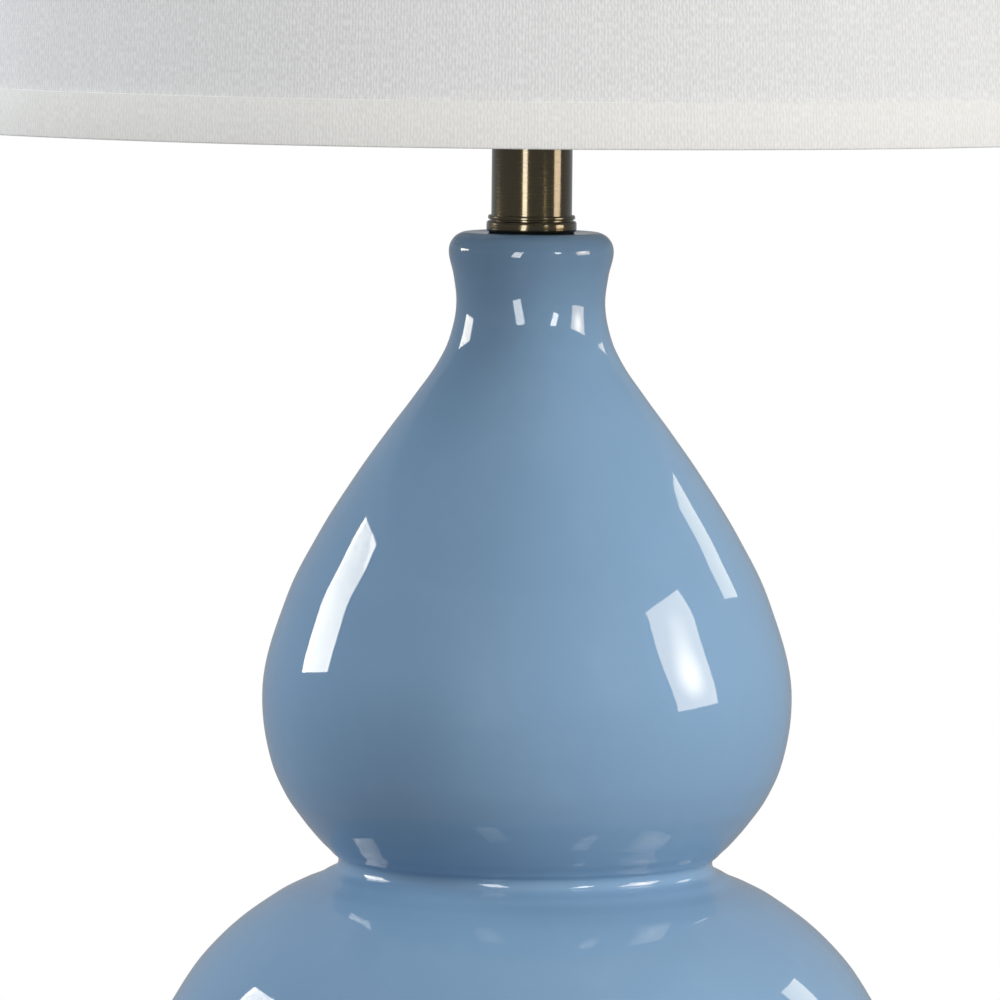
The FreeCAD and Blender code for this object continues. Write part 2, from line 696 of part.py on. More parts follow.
def make_harp():
    """Saddle with two ears, the wire bow beside them, the sleeves that lock it, and its top stud."""
    ear_face = "(lamp.harp_leg_x - lamp.harp_wire_radius - lamp.ear_gap)"
    ear_inner = f"({ear_face} - lamp.ear_thick)"
    bore = f"(sqrt(pow(lamp.harp_leg_x - {ear_inner}; 2) + pow(lamp.ear_width / 2; 2)) + lamp.sleeve_gap)"
    sleeve_radius = f"({bore} + lamp.sleeve_wall)"
    reach = f"(lamp.harp_leg_x + {sleeve_radius} + lamp.saddle_end)"
    strip = box("saddle_strip", f"{reach} * 2", "lamp.saddle_width", "lamp.saddle_thick",
                f"-{reach}", "-lamp.saddle_width / 2", CAP_TOP)
    ear_size = ("lamp.ear_thick", "lamp.ear_width", "lamp.ear_height + lamp.saddle_thick")
    right_ear = box("saddle_ear_right", *ear_size, ear_inner, "-lamp.ear_width / 2", CAP_TOP)
    left_ear = box("saddle_ear_left", *ear_size, f"-{ear_face}", "-lamp.ear_width / 2", CAP_TOP)
    hole = cylinder("saddle_hole", ROD_HOLE, "lamp.saddle_thick", z=CAP_TOP)
    keep(cut("harp_saddle", fuse("saddle", strip, right_ear, left_ear), hole), "harp_saddle")

    foot = value(f"{SADDLE_TOP} + lamp.harp_foot_gap")
    crown = value(f"{HARP_SEAT} - lamp.stud_flange_thick - lamp.stud_boss_height / 2")
    leg_x = value("lamp.harp_leg_x")
    half_width = value("lamp.harp_half_width")
    crown_half = value("lamp.harp_crown_half")
    right_side = [
        (leg_x, foot),
        (leg_x, foot + value("lamp.harp_straight")),
        (half_width, foot + value("lamp.harp_flare_height")),
        (half_width, crown - value("lamp.harp_shoulder_drop")),
        (crown_half, crown),
    ]
    route = [Vector(x, 0, z) for x, z in right_side]
    route += [Vector(-x, 0, z) for x, z in reversed(right_side)]
    wire_radius = value("lamp.harp_wire_radius")
    bow = bent_wire(route, wire_radius)
    expected = math.pi * wire_radius ** 2 * bent_path(route).Length
    print("harp volume over section times length:", round(bow.Volume / expected, 5))
    feature("harp", bow)

    lip_bore = "(lamp.harp_wire_radius + lamp.slide_fit)"
    sleeve_top = f"({SADDLE_TOP} + lamp.sleeve_height)"
    for side, x in (("left", "-lamp.harp_leg_x"), ("right", "lamp.harp_leg_x")):
        sleeve = turned(f"sleeve_{side}", [
            (bore, SADDLE_TOP),
            (sleeve_radius, SADDLE_TOP),
            (sleeve_radius, sleeve_top),
            (lip_bore, sleeve_top),
            (lip_bore, f"{sleeve_top} - lamp.sleeve_lip"),
            (bore, f"{sleeve_top} - lamp.sleeve_lip"),
        ])
        sleeve.setExpression("Placement.Base.x", x)
        keep(sleeve, f"harp_sleeve_{side}")

    flange = f"({HARP_SEAT} - lamp.stud_flange_thick)"
    boss = f"({flange} - lamp.stud_boss_height)"
    stud = turned("stud", [
        ("0", boss),
        ("lamp.stud_boss_radius", boss),
        ("lamp.stud_boss_radius", flange),
        ("lamp.stud_flange_radius", flange),
        ("lamp.stud_flange_radius", HARP_SEAT),
        ("lamp.stud_radius", HARP_SEAT),
        ("lamp.stud_radius", f"{HARP_SEAT} + lamp.stud_length"),
        ("0", f"{HARP_SEAT} + lamp.stud_length"),
    ])
    cross_hole = cylinder(
        "stud_cross_hole", "lamp.harp_wire_radius + lamp.thread_gap", "lamp.stud_boss_radius * 4",
        x="-lamp.stud_boss_radius * 2", z=f"{boss} + lamp.stud_boss_height / 2", direction=Vector(1, 0, 0))
    keep(cut("harp_stud", stud, cross_hole), "harp_stud")


def make_socket():
    """The socket: cap, set screw, shell, insulating sleeve, moulded core, screw shell and contact."""
    wall = "lamp.socket_wall"
    inner = f"(lamp.socket_radius - {wall})"
    cap = turned("socket_cup", [
        (ROD_THREAD, SOCKET),
        ("lamp.socket_hub_radius", SOCKET),
        ("lamp.socket_hub_radius", HUB_TOP),
        ("lamp.socket_radius", SKIRT),
        ("lamp.socket_radius", SKIRT_TOP),
        (inner, SKIRT_TOP),
        (inner, f"{SKIRT} + {wall} / 2"),
        (f"lamp.socket_hub_radius - {wall} / 2", f"{HUB_TOP} + {wall}"),
        (ROD_THREAD, f"{HUB_TOP} + {wall}"),
    ])
    screw_height = f"{SOCKET} + lamp.socket_hub_height / 2"
    screw_hole = cylinder(
        "set_screw_hole", "lamp.set_screw_radius + lamp.thread_gap", "lamp.socket_hub_radius",
        y=ROD_THREAD, z=screw_height, direction=BACK)
    keep(cut("socket_cap", cap, screw_hole), "socket_cap")
    keep(cylinder("set_screw", "lamp.set_screw_radius", "lamp.set_screw_length",
                  y=f"{ROD_THREAD} + lamp.thread_gap", z=screw_height, direction=BACK), "socket_set_screw")

    shell_outer = f"({inner} - lamp.shell_gap)"
    shell_inner = f"({shell_outer} - lamp.shell_wall)"
    sleeve_outer = f"({shell_inner} - lamp.shell_gap)"
    sleeve_inner = f"({sleeve_outer} - lamp.insulator_wall)"
    core_radius = f"({sleeve_inner} - lamp.core_gap)"
    window = "lamp.switch_shaft_radius + lamp.switch_hole_gap"
    shell_tube = ring_plate("shell_tube", shell_inner, shell_outer, "lamp.shell_height", SHELL)
    shell_window = cylinder("shell_window", window, "lamp.socket_radius", z=SWITCH, direction=FRONT)
    keep(cut("socket_shell", shell_tube, shell_window), "socket_shell")
    sleeve_tube = ring_plate("insulating_tube", sleeve_inner, sleeve_outer,
                             "lamp.shell_height - lamp.insulator_drop", SHELL)
    sleeve_window = cylinder("sleeve_window", window, "lamp.socket_radius", z=SWITCH, direction=FRONT)
    keep(cut("socket_insulator", sleeve_tube, sleeve_window), "socket_insulator")

    block = cylinder("core_block", core_radius, "lamp.core_height", z=CORE)
    shaft_hole = cylinder(
        "core_shaft_hole", "lamp.switch_shaft_radius + lamp.slide_fit", "lamp.socket_radius",
        y="-lamp.switch_shaft_root", z=SWITCH, direction=FRONT)
    tools = [shaft_hole]
    screws = []
    pocket_floor = f"({core_radius} - lamp.terminal_pocket_depth)"
    for side, sign, outward in (("right", "", Vector(1, 0, 0)), ("left", "-", Vector(-1, 0, 0))):
        floor = {"x": f"{sign}{pocket_floor}", "z": TERMINAL, "direction": outward}
        shank_end = f"({pocket_floor} - lamp.terminal_shank_length)"
        root = {"x": f"{sign}{shank_end}", "z": TERMINAL, "direction": outward}
        tools.append(cylinder(f"terminal_pocket_{side}", "lamp.terminal_head_radius + lamp.core_gap",
                              "lamp.socket_radius", **floor))
        tools.append(cylinder(f"terminal_hole_{side}", "lamp.terminal_shank_radius + lamp.thread_gap",
                              "lamp.terminal_shank_length", **root))
        head = cylinder(f"terminal_head_{side}", "lamp.terminal_head_radius",
                        "lamp.terminal_head_thick", **floor)
        shank = cylinder(f"terminal_shank_{side}", "lamp.terminal_shank_radius",
                         "lamp.terminal_shank_length", **root)
        screws.append(fuse(f"terminal_{side}", head, shank))
    keep(cut("socket_core", block, *tools), "socket_core")
    keep(group("terminal_screws", *screws), "terminal_screws")

    screw_inner = "(lamp.lamp_thread_radius + lamp.lamp_thread_gap)"
    screw_outer = f"({screw_inner} + lamp.screw_shell_wall)"
    keep(turned("screw_shell", [
        ("lamp.screw_shell_hole", CORE_TOP),
        (screw_outer, CORE_TOP),
        (screw_outer, f"{CORE_TOP} + lamp.screw_shell_height"),
        (screw_inner, f"{CORE_TOP} + lamp.screw_shell_height"),
        (screw_inner, f"{CORE_TOP} + lamp.screw_shell_wall"),
        ("lamp.screw_shell_hole", f"{CORE_TOP} + lamp.screw_shell_wall"),
    ]), "screw_shell")
    rivet = cylinder("contact_rivet", "lamp.contact_rivet_radius", "lamp.contact_rivet_height", z=CORE_TOP)
    tongue = box("contact_tongue", "lamp.contact_length", "lamp.contact_width", "lamp.contact_thick",
                 "-lamp.contact_length / 2", "-lamp.contact_width / 2",
                 f"{CORE_TOP} + lamp.contact_rivet_height")
    keep(fuse("centre_contact", rivet, tongue), "centre_contact")


def make_switch():
    """The rotary switch's shaft and its fluted knob, which turn about Y at the front of the socket."""
    spindle = cylinder(
        "switch_spindle", "lamp.switch_shaft_radius", "lamp.switch_shaft_reach - lamp.switch_shaft_root",
        y="-lamp.switch_shaft_root - lamp.slide_fit", z=SWITCH, direction=FRONT)
    keep(spindle, "switch_shaft")

    body = doc.addObject("PartDesign::Body", "knob")
    pad = body.newObject("PartDesign::Pad", "knob_pad")
    pad.Profile = round_sketch(body, "knob_face", "lamp.knob_radius")
    pad.setExpression("Length", "lamp.knob_length")
    round_rims(body, "lamp.knob_dome", [("lamp.knob_radius", "lamp.knob_length")])
    doc.recompute()
    plain_volume = body.Shape.Volume

    hole = body.newObject("PartDesign::Pocket", "knob_hole")
    hole.Profile = round_sketch(body, "knob_hole_face", "lamp.switch_shaft_radius + lamp.thread_gap")
    hole.setExpression("Length", "lamp.switch_shaft_reach + lamp.slide_fit * 2 - lamp.knob_start")
    hole.Reversed = True
    doc.recompute()
    bored_volume = body.Shape.Volume

    flute = body.newObject("PartDesign::Pocket", "knob_flute_cut")
    flute.Profile = round_sketch(body, "knob_flute", "lamp.knob_flute_radius", "lamp.knob_radius")
    flute.Type = "ThroughAll"
    flute.Reversed = True
    pattern = body.newObject("PartDesign::PolarPattern", "knob_flutes")
    pattern.Originals = [flute]
    pattern.Axis = (pad.Profile[0], ["N_Axis"])
    pattern.Angle = 360
    pattern.setExpression("Occurrences", "lamp.knob_flutes")
    body.Tip = pattern
    doc.recompute()
    if not body.Shape.Volume < bored_volume < plain_volume:
        raise RuntimeError("the knob's hole or flutes cut nothing")
    body.Placement.Rotation = FreeCAD.Rotation(Vector(0, 0, 1), FRONT)
    place(body, y="-lamp.knob_start", z=SWITCH)
    keep(body, "switch_knob")


def make_bulb():
    """A pear-shaped bulb: screw cap, glass insulator, tip, blown globe, stem and filament."""
    bottom = f"({CORE_TOP} + lamp.contact_rivet_height + lamp.contact_thick + lamp.contact_gap)"
    cone_start = f"({bottom} + lamp.bulb_tip_thick)"
    cap_start = f"({cone_start} + lamp.bulb_glass_cone_height)"
    cap_end = f"({bottom} + lamp.bulb_cap_height)"
    cap_inner = "(lamp.lamp_thread_radius - lamp.bulb_cap_wall)"
    keep(cylinder("tip", "lamp.bulb_tip_radius", "lamp.bulb_tip_thick", z=bottom), "bulb_tip")
    cone = doc.addObject("Part::Cone", "glass_cone")
    cone.setExpression("Radius1", "lamp.bulb_tip_radius")
    cone.setExpression("Radius2", cap_inner)
    cone.setExpression("Height", "lamp.bulb_glass_cone_height")
    keep(place(cone, z=cone_start), "bulb_insulator")
    skirt = ring_plate("bulb_skirt", cap_inner, "lamp.lamp_thread_radius",
                       f"{cap_end} - {cap_start}", cap_start)
    keep(skirt, "bulb_screw_cap")

    start = value(bottom)
    neck_radius = value(f"{cap_inner} - lamp.bulb_glass_gap")
    ball_radius = value("lamp.bulb_radius")
    centre = start + value("lamp.bulb_length") - ball_radius
    neck_start = start + value("lamp.bulb_neck_start")
    neck_end = start + value("lamp.bulb_neck_end")

    def glass_outline(inset):
        """Half outline of the globe, from its top down to the neck's open end."""
        radius = ball_radius - inset
        leave = math.radians(BULB_FLANK_ANGLE)
        side = Vector(radius * math.cos(leave), 0, centre + radius * math.sin(leave))
        along = Vector(math.sin(leave), 0, -math.cos(leave))
        neck = Vector(neck_radius - inset, 0, neck_end)
        pull = BULB_FLANK_SHARE * (side.z - neck.z)
        flank = Part.BezierCurve()
        flank.setPoles([side, side + along * pull, neck + Vector(0, 0, pull), neck])
        top = Vector(0, 0, centre + radius)
        end = Vector(neck.x, 0, neck_start)
        ball = Part.Arc(top, Vector(radius, 0, centre), side).toShape()
        return [ball, flank.toShape(), Part.LineSegment(neck, end).toShape()], top, end

    wall = value("lamp.bulb_glass_wall")
    outer, outer_top, outer_end = glass_outline(0)
    inner, inner_top, inner_end = glass_outline(wall)
    closing = [Part.LineSegment(outer_top, inner_top).toShape(),
               Part.LineSegment(outer_end, inner_end).toShape()]
    outline = Part.Wire(Part.__sortEdges__(outer + inner + closing))
    feature("bulb_globe", Part.Face(outline).revolve(Vector(0, 0, 0), Vector(0, 0, 1), 360))

    press = f"({bottom} + lamp.bulb_neck_start)"
    press_top = f"({press} + lamp.bulb_press_thick)"
    stem_top = f"({press_top} + lamp.bulb_stem_height)"
    press_radius = f"({cap_inner} - lamp.bulb_glass_gap - lamp.bulb_glass_wall - lamp.ply_gap)"
    keep(turned("stem", [
        ("0", press),
        (press_radius, press),
        (press_radius, press_top),
        ("lamp.bulb_stem_radius", press_top),
        ("lamp.bulb_stem_radius", stem_top),
        ("0", stem_top),
    ]), "bulb_stem")
    wire_start = value(f"{stem_top} + lamp.filament_radius")
    wire_top = wire_start + value("lamp.filament_height")
    half = value("lamp.filament_half_width")
    root = value("lamp.bulb_stem_radius") / 2
    loop = [Vector(-root, 0, wire_start), Vector(-half, 0, wire_top), Vector(half, 0, wire_top),
            Vector(root, 0, wire_start)]
    feature("bulb_filament", bent_wire(loop, value("lamp.filament_radius")))


def shade_radius(height):
    """Outer radius of the shade's linen at a height above the shade's lower edge."""
    slope = "(lamp.shade_bottom_radius - lamp.shade_top_radius) / lamp.shade_height"
    return f"(lamp.shade_bottom_radius - ({height}) * {slope})"


def cone_wall(name, outer_inset, inner_inset, margin):
    """A thin wall that follows the shade's taper, held back from both edges by a margin."""
    low = margin
    high = f"(lamp.shade_height - {margin})"
    return turned(name, [
        (f"{shade_radius(low)} - {outer_inset}", f"{SHADE_BOTTOM} + {low}"),
        (f"{shade_radius(high)} - {outer_inset}", f"{SHADE_BOTTOM} + {high}"),
        (f"{shade_radius(high)} - {inner_inset}", f"{SHADE_BOTTOM} + {high}"),
        (f"{shade_radius(low)} - {inner_inset}", f"{SHADE_BOTTOM} + {low}"),
    ])


def make_shade():
    """Linen over a stiff lining, a wire ring in each bound edge, and a spider of three arms."""
    margin = "(lamp.trim_thick + lamp.ply_gap)"
    lining_face = "(lamp.fabric_thick + lamp.ply_gap)"
    lining_back = f"({lining_face} + lamp.lining_thick)"
    keep(cone_wall("linen", "0", "lamp.fabric_thick", margin), "shade_fabric")
    keep(cone_wall("lining", lining_face, lining_back, margin), "shade_lining")

    ring_margin = f"({margin} + lamp.shade_wire_radius)"
    ring_inset = f"({lining_back} + lamp.wire_gap + lamp.shade_wire_radius)"
    edges = {
        "bottom": (ring_margin, "0", "1"),
        "top": (f"(lamp.shade_height - {ring_margin})", "lamp.shade_height", "-1"),
    }
    ring_radii = {}
    for edge, (ring_height, edge_height, inward) in edges.items():
        ring_radii[edge] = f"({shade_radius(ring_height)} - {ring_inset})"
        hoop = doc.addObject("Part::Torus", f"hoop_{edge}")
        hoop.setExpression("Radius1", ring_radii[edge])
        hoop.setExpression("Radius2", "lamp.shade_wire_radius")
        place(hoop, z=f"{SHADE_BOTTOM} + {ring_height}")
        keep(hoop, f"shade_{edge}_ring")

        fold_face = f"({ring_radii[edge]} - lamp.shade_wire_radius - lamp.wire_gap)"
        fold_back = f"({fold_face} - lamp.trim_thick)"
        hem = f"({edge_height} + {inward} * lamp.trim_height)"
        floor = f"({edge_height} + {inward} * lamp.trim_thick)"
        fold = f"({edge_height} + {inward} * lamp.trim_fold)"
        corners = [
            (f"{shade_radius(edge_height)} + lamp.ply_gap + lamp.trim_thick", edge_height),
            (f"{shade_radius(hem)} + lamp.ply_gap + lamp.trim_thick", hem),
            (f"{shade_radius(hem)} + lamp.ply_gap", hem),
            (f"{shade_radius(floor)} + lamp.ply_gap", floor),
            (fold_face, floor),
            (fold_face, fold),
            (fold_back, fold),
            (fold_back, edge_height),
        ]
        band = turned(f"binding_{edge}",
                      [(radius, f"{SHADE_BOTTOM} + {height}") for radius, height in corners])
        if edge == "top":
            notches = [
                cylinder(f"arm_notch_{number}", "lamp.arm_wire_radius + lamp.arm_notch_gap",
                         ring_radii[edge], z=f"{SHADE_BOTTOM} + {ring_height}",
                         direction=arm_direction(angle))
                for number, angle in enumerate(ARM_ANGLES, start=1)]
            band = cut("shade_top_trim", band, *notches)
        keep(band, f"shade_{edge}_trim")

    hub_hole = "(lamp.stud_radius + lamp.slide_fit)"
    keep(ring_plate("hub", hub_hole, "lamp.hub_radius", "lamp.hub_thick", HARP_SEAT), "spider_hub")

    low = value(f"{HARP_SEAT} + lamp.hub_thick / 2")
    high = value(f"{SHADE_TOP} - {ring_margin}")
    near = value("lamp.hub_radius + lamp.ply_gap")
    far = value(f"{ring_radii['top']} - lamp.shade_wire_radius - lamp.ply_gap")
    bend_start = far - value("lamp.arm_bend_start")
    bend_end = far - value("lamp.arm_bend_end")
    for number, angle in enumerate(ARM_ANGLES, start=1):
        out = arm_direction(angle)
        route = [out * reach + Vector(0, 0, height)
                 for reach, height in ((near, low), (bend_start, low), (bend_end, high), (far, high))]
        feature(f"spider_arm_{number}", bent_wire(route, value("lamp.arm_wire_radius")))


def arm_direction(angle):
    return Vector(math.cos(math.radians(angle)), math.sin(math.radians(angle)), 0)


def make_finial():
    """A ball finial with a threaded brass insert that runs on the harp's stud."""
    seat = f"({HARP_SEAT} + lamp.hub_thick)"
    insert_bore = "(lamp.stud_radius + lamp.slide_fit)"
    insert_radius = f"({insert_bore} + lamp.insert_wall)"
    keep(ring_plate("insert", insert_bore, insert_radius, "lamp.insert_height", seat), "finial_insert")

    knob_start = f"({seat} + lamp.finial_gap)"
    flange_top = f"({knob_start} + lamp.finial_flange_height)"
    neck_top = f"({knob_start} + lamp.finial_neck_height)"
    ball_centre = f"({neck_top} + lamp.finial_ball_lift)"
    socket_radius = f"({insert_radius} + lamp.finial_press_gap)"
    socket_top = f"({seat} + lamp.insert_height + lamp.finial_gap)"
    bore_top = f"({HARP_SEAT} + lamp.stud_length + lamp.finial_gap)"
    flange = cylinder("finial_flange", "lamp.finial_flange_radius", "lamp.finial_flange_height", z=knob_start)
    neck = doc.addObject("Part::Cone", "finial_neck")
    neck.setExpression("Radius1", "lamp.finial_flange_radius")
    neck.setExpression("Radius2", "lamp.finial_neck_radius")
    neck.setExpression("Height", "lamp.finial_neck_height - lamp.finial_flange_height")
    place(neck, z=flange_top)
    ball = doc.addObject("Part::Sphere", "finial_ball")
    ball.setExpression("Radius", "lamp.finial_ball_radius")
    place(ball, z=ball_centre)
    tip = cylinder("finial_tip", "lamp.finial_tip_radius",
                   "lamp.finial_ball_radius + lamp.finial_tip_height", z=ball_centre)
    recess = cylinder("finial_recess", socket_radius, f"{socket_top} - {knob_start}", z=knob_start)
    bore = cylinder("finial_bore", insert_bore, f"{bore_top} - {knob_start}", z=knob_start)
    keep(cut("finial_knob", fuse("finial", flange, neck, ball, tip), recess, bore), "finial_knob")


make_base()
make_cord_bushing()
make_rod()
make_gourd()
make_neck()
make_harp()
make_socket()
make_switch()
make_bulb()
make_shade()
make_finial()
doc.recompute()

for item in doc.Objects:
    if "Invalid" in item.State or "Error" in item.State:
        raise RuntimeError(f"{item.Label} did not build")
for node in nodes:
    if node.Shape.isNull() or not node.Shape.isValid() or node.Shape.Volume <= 0:
        raise RuntimeError(f"{node.Label} has no sound solid")

os.makedirs("parts", exist_ok=True)
for node in nodes:
    node.Shape.exportStep(f"parts/{node.Label}.step")
print(len(nodes), "nodes written")
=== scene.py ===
import math
import bmesh
import bpy
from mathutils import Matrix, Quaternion, Vector


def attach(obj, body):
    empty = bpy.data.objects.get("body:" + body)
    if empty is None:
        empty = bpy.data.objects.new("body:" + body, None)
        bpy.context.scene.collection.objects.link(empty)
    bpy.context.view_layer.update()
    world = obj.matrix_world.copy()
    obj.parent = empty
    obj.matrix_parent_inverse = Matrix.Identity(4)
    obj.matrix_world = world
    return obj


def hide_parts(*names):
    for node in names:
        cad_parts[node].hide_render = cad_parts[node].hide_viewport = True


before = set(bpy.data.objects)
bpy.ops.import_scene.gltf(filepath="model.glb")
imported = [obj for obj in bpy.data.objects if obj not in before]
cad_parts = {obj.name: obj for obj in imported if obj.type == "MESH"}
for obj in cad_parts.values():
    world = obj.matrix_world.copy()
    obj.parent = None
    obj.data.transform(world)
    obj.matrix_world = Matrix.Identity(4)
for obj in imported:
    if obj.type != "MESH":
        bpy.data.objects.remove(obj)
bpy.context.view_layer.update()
bpy.ops.object.select_all(action="DESELECT")


# Felt pad: a disc of pressed charcoal wool felt, punched from sheet and glued under the base's
# rim so that the brass doesn't scratch the table.
MM = 0.001
FELT_RADIUS, FELT_TOP = 78.2, 1.5


def pick(piece, test):
    """Selects the corners whose place passes a test, in edit mode."""
    bpy.ops.mesh.select_all(action="DESELECT")
    mesh = bmesh.from_edit_mesh(piece.data)
    for corner in mesh.verts:
        corner.select_set(bool(test(corner.co)))
    mesh.select_flush(True)
    bmesh.update_edit_mesh(piece.data)


def near(spot, place):
    """Whether a corner is at a place, within a fiftieth of a millimetre."""
    return (spot - Vector(place)).length < 0.02 * MM


def turn(name, outline, steps=96, rounds=4, smooth=35, ring=True):
    """A turned piece. Its outline goes from corner to corner, in millimetres out from the axis
    and up from the floor, and a third number rounds the corner. A ring's outline is closed."""
    bpy.ops.object.select_all(action="DESELECT")
    bpy.ops.mesh.primitive_plane_add(size=MM)
    piece = bpy.context.object
    piece.name = piece.data.name = name
    bpy.ops.object.mode_set(mode="EDIT")
    bpy.ops.mesh.select_mode(type="VERT")
    bpy.ops.mesh.merge(type="CENTER")
    places = [Vector((corner[0] * MM, 0, corner[1] * MM)) for corner in outline]
    bpy.ops.transform.translate(value=places[0])
    for here, there in zip(places, places[1:]):
        bpy.ops.mesh.extrude_vertices_move(TRANSFORM_OT_translate={"value": there - here})
    if ring:
        pick(piece, lambda spot: near(spot, places[0]) or near(spot, places[-1]))
        bpy.ops.mesh.edge_face_add()
    for corner, place in zip(outline, places):
        if len(corner) > 2:
            pick(piece, lambda spot: near(spot, place))
            bpy.ops.mesh.bevel(offset=corner[2] * MM, segments=rounds, affect="VERTICES")
    spin(piece, steps, smooth)
    return piece


def spin(piece, steps, smooth):
    """Spins a half outline in the XZ plane once round the upright axis and closes the seam."""
    if piece.mode != "EDIT":
        bpy.ops.object.mode_set(mode="EDIT")
    bpy.ops.mesh.select_all(action="SELECT")
    bpy.ops.mesh.spin(steps=steps, angle=math.tau, center=(0, 0, 0), axis=(0, 0, 1))
    bpy.ops.mesh.select_all(action="SELECT")
    bpy.ops.mesh.remove_doubles(threshold=0.002 * MM)
    bpy.ops.mesh.normals_make_consistent(inside=False)
    bpy.ops.object.mode_set(mode="OBJECT")
    bpy.ops.object.shade_smooth_by_angle(angle=math.radians(smooth))


def tint(red, green, blue):
    """A colour as it is read off a chip, each part from 0 to 255."""
    parts = [part / 255 for part in (red, green, blue)]
    return tuple(part / 12.92 if part <= 0.04 else ((part + 0.055) / 1.055) ** 2.4
                 for part in parts) + (1.0,)


def put(made, node, **inputs):
    """Sets a node's inputs: a number or colour is set, and another node's output is joined. A
    name such as i1 is the input's number."""
    if isinstance(node, str):
        node = made.node_tree.nodes.new("ShaderNode" + node)
    for name, given in inputs.items():
        if name in node.bl_rna.properties:
            setattr(node, name, given)
            continue
        number = name[0] == "i" and name[1:].isdigit()
        socket = node.inputs[int(name[1:]) if number else name.replace("_", " ")]
        if isinstance(given, bpy.types.NodeSocket):
            made.node_tree.links.new(given, socket)
        else:
            socket.default_value = given
    return node


def finish(name, **inputs):
    """A new finish, with what is the same all over set on its shader."""
    made = bpy.data.materials.new(name)
    made.use_nodes = True
    put(made, made.node_tree.nodes["Principled BSDF"], **inputs)
    return made


def surface(made, **inputs):
    """Adds the patterns that a finish's shader takes."""
    put(made, made.node_tree.nodes["Principled BSDF"], **inputs)


def place_of(made, scale=(1, 1, 1), source="Object"):
    """Where a pattern is on the piece, stretched by a scale."""
    coords = put(made, "TexCoord")
    return put(made, "Mapping", Vector=coords.outputs[source], Scale=scale).outputs["Vector"]


def noise(made, where, scale, detail=3.0, roughness=0.55):
    """A cloudy pattern from 0 to 1, finer with a larger scale."""
    return put(made, "TexNoise", Vector=where, Scale=scale, Detail=detail,
               Roughness=roughness).outputs["Fac"]


def blend(made, share, one, other):
    """One colour or pattern turning into another as the share goes from 0 to 1."""
    return put(made, "MixRGB", Fac=share, Color1=one, Color2=other).outputs["Color"]


def relief(made, height, strength, depth):
    """Bumps of a real depth, in millimetres."""
    return put(made, "Bump", Height=height, Strength=strength,
               Distance=depth * MM).outputs["Normal"]


def fit(piece, made, body, slot, *nodes):
    """Gives a piece its finish and its place in the frame."""
    piece.data.materials.clear()
    piece.data.materials.append(made)
    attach(piece, body)
    if nodes:
        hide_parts(*nodes)


wool = finish("charcoal_felt", Roughness=0.95, Sheen_Weight=0.6, Sheen_Roughness=0.5)
fibres = noise(wool, place_of(wool), 1400, 4)
matting = noise(wool, place_of(wool), 160, 3)
surface(wool, Base_Color=blend(wool, fibres, tint(34, 34, 36), tint(74, 74, 76)),
        Normal=relief(wool, blend(wool, 0.4, fibres, matting), 0.7, 0.3))
felt = turn("felt_disc", [(0, 0), (FELT_RADIUS, 0, 0.35), (FELT_RADIUS, FELT_TOP, 0.35),
                          (0, FELT_TOP)], 128, ring=False)
fit(felt, wool, "lamp_body", "felt", "felt_pad")


# Base: a plate of sheet brass spun over a form with one step, its rims rounded, coloured to an
# antique brown and brushed on the lathe. A hole in its back holds the cord's bushing.
BASE_RADIUS, STEP_RADIUS, ROD_HOLE = 79.0, 73.0, 5.2
STEP_TOP, BASE_TOP, SHEET = 16.0, 22.5, 1.5


def between(made, share, low, high, start=0.3, end=0.7):
    """A pattern's dark and bright parts spread over a range."""
    return put(made, "MapRange", Value=share, From_Min=start, From_Max=end, To_Min=low,
               To_Max=high).outputs["Result"]


def antique_brass(name, dark, bright, roughness, brushing, lacquer=0.15):
    """Brass browned in a bath, rubbed back and brushed round its axis, then lacquered."""
    made = finish(name, Metallic=1.0, Anisotropic=brushing, Anisotropic_Rotation=0.25,
                  Coat_Weight=lacquer, Coat_Roughness=0.07)
    put(made, made.node_tree.nodes["Principled BSDF"],
        Tangent=put(made, "Tangent", direction_type="RADIAL", axis="Z").outputs["Tangent"])
    lines = noise(made, place_of(made, (60, 60, 5200)), 1.0, 2)
    patches = noise(made, place_of(made), 38, 4, 0.6)
    stain = noise(made, place_of(made, (1, 1, 0.45)), 170, 3, 0.65)
    tone = blend(made, between(made, patches, 0.0, 0.8), dark, bright)
    tone = blend(made, between(made, stain, 0.0, 0.35, 0.45, 0.8), tone, dark)
    rub = between(made, lines, roughness - 0.06, roughness + 0.08)
    surface(made, Base_Color=tone, Roughness=rub, Normal=relief(made, lines, 0.25, 0.02))
    return made


def drill(piece, radius, depth, at, facing):
    """Drills a hole that starts at a place, in millimetres, along a direction."""
    middle = (Vector(at) + Vector(facing) * depth / 2) * MM
    turned = Vector(facing).to_track_quat("Z", "Y").to_euler()
    bpy.ops.object.select_all(action="DESELECT")
    bpy.ops.mesh.primitive_cylinder_add(vertices=40, radius=radius * MM, depth=depth * MM,
                                        location=middle, rotation=turned)
    bit = bpy.context.object
    hole = piece.modifiers.new("hole", "BOOLEAN")
    hole.operation, hole.solver, hole.object = "DIFFERENCE", "EXACT", bit
    bpy.context.view_layer.objects.active = piece
    bpy.ops.object.modifier_apply(modifier=hole.name)
    bpy.data.objects.remove(bit)


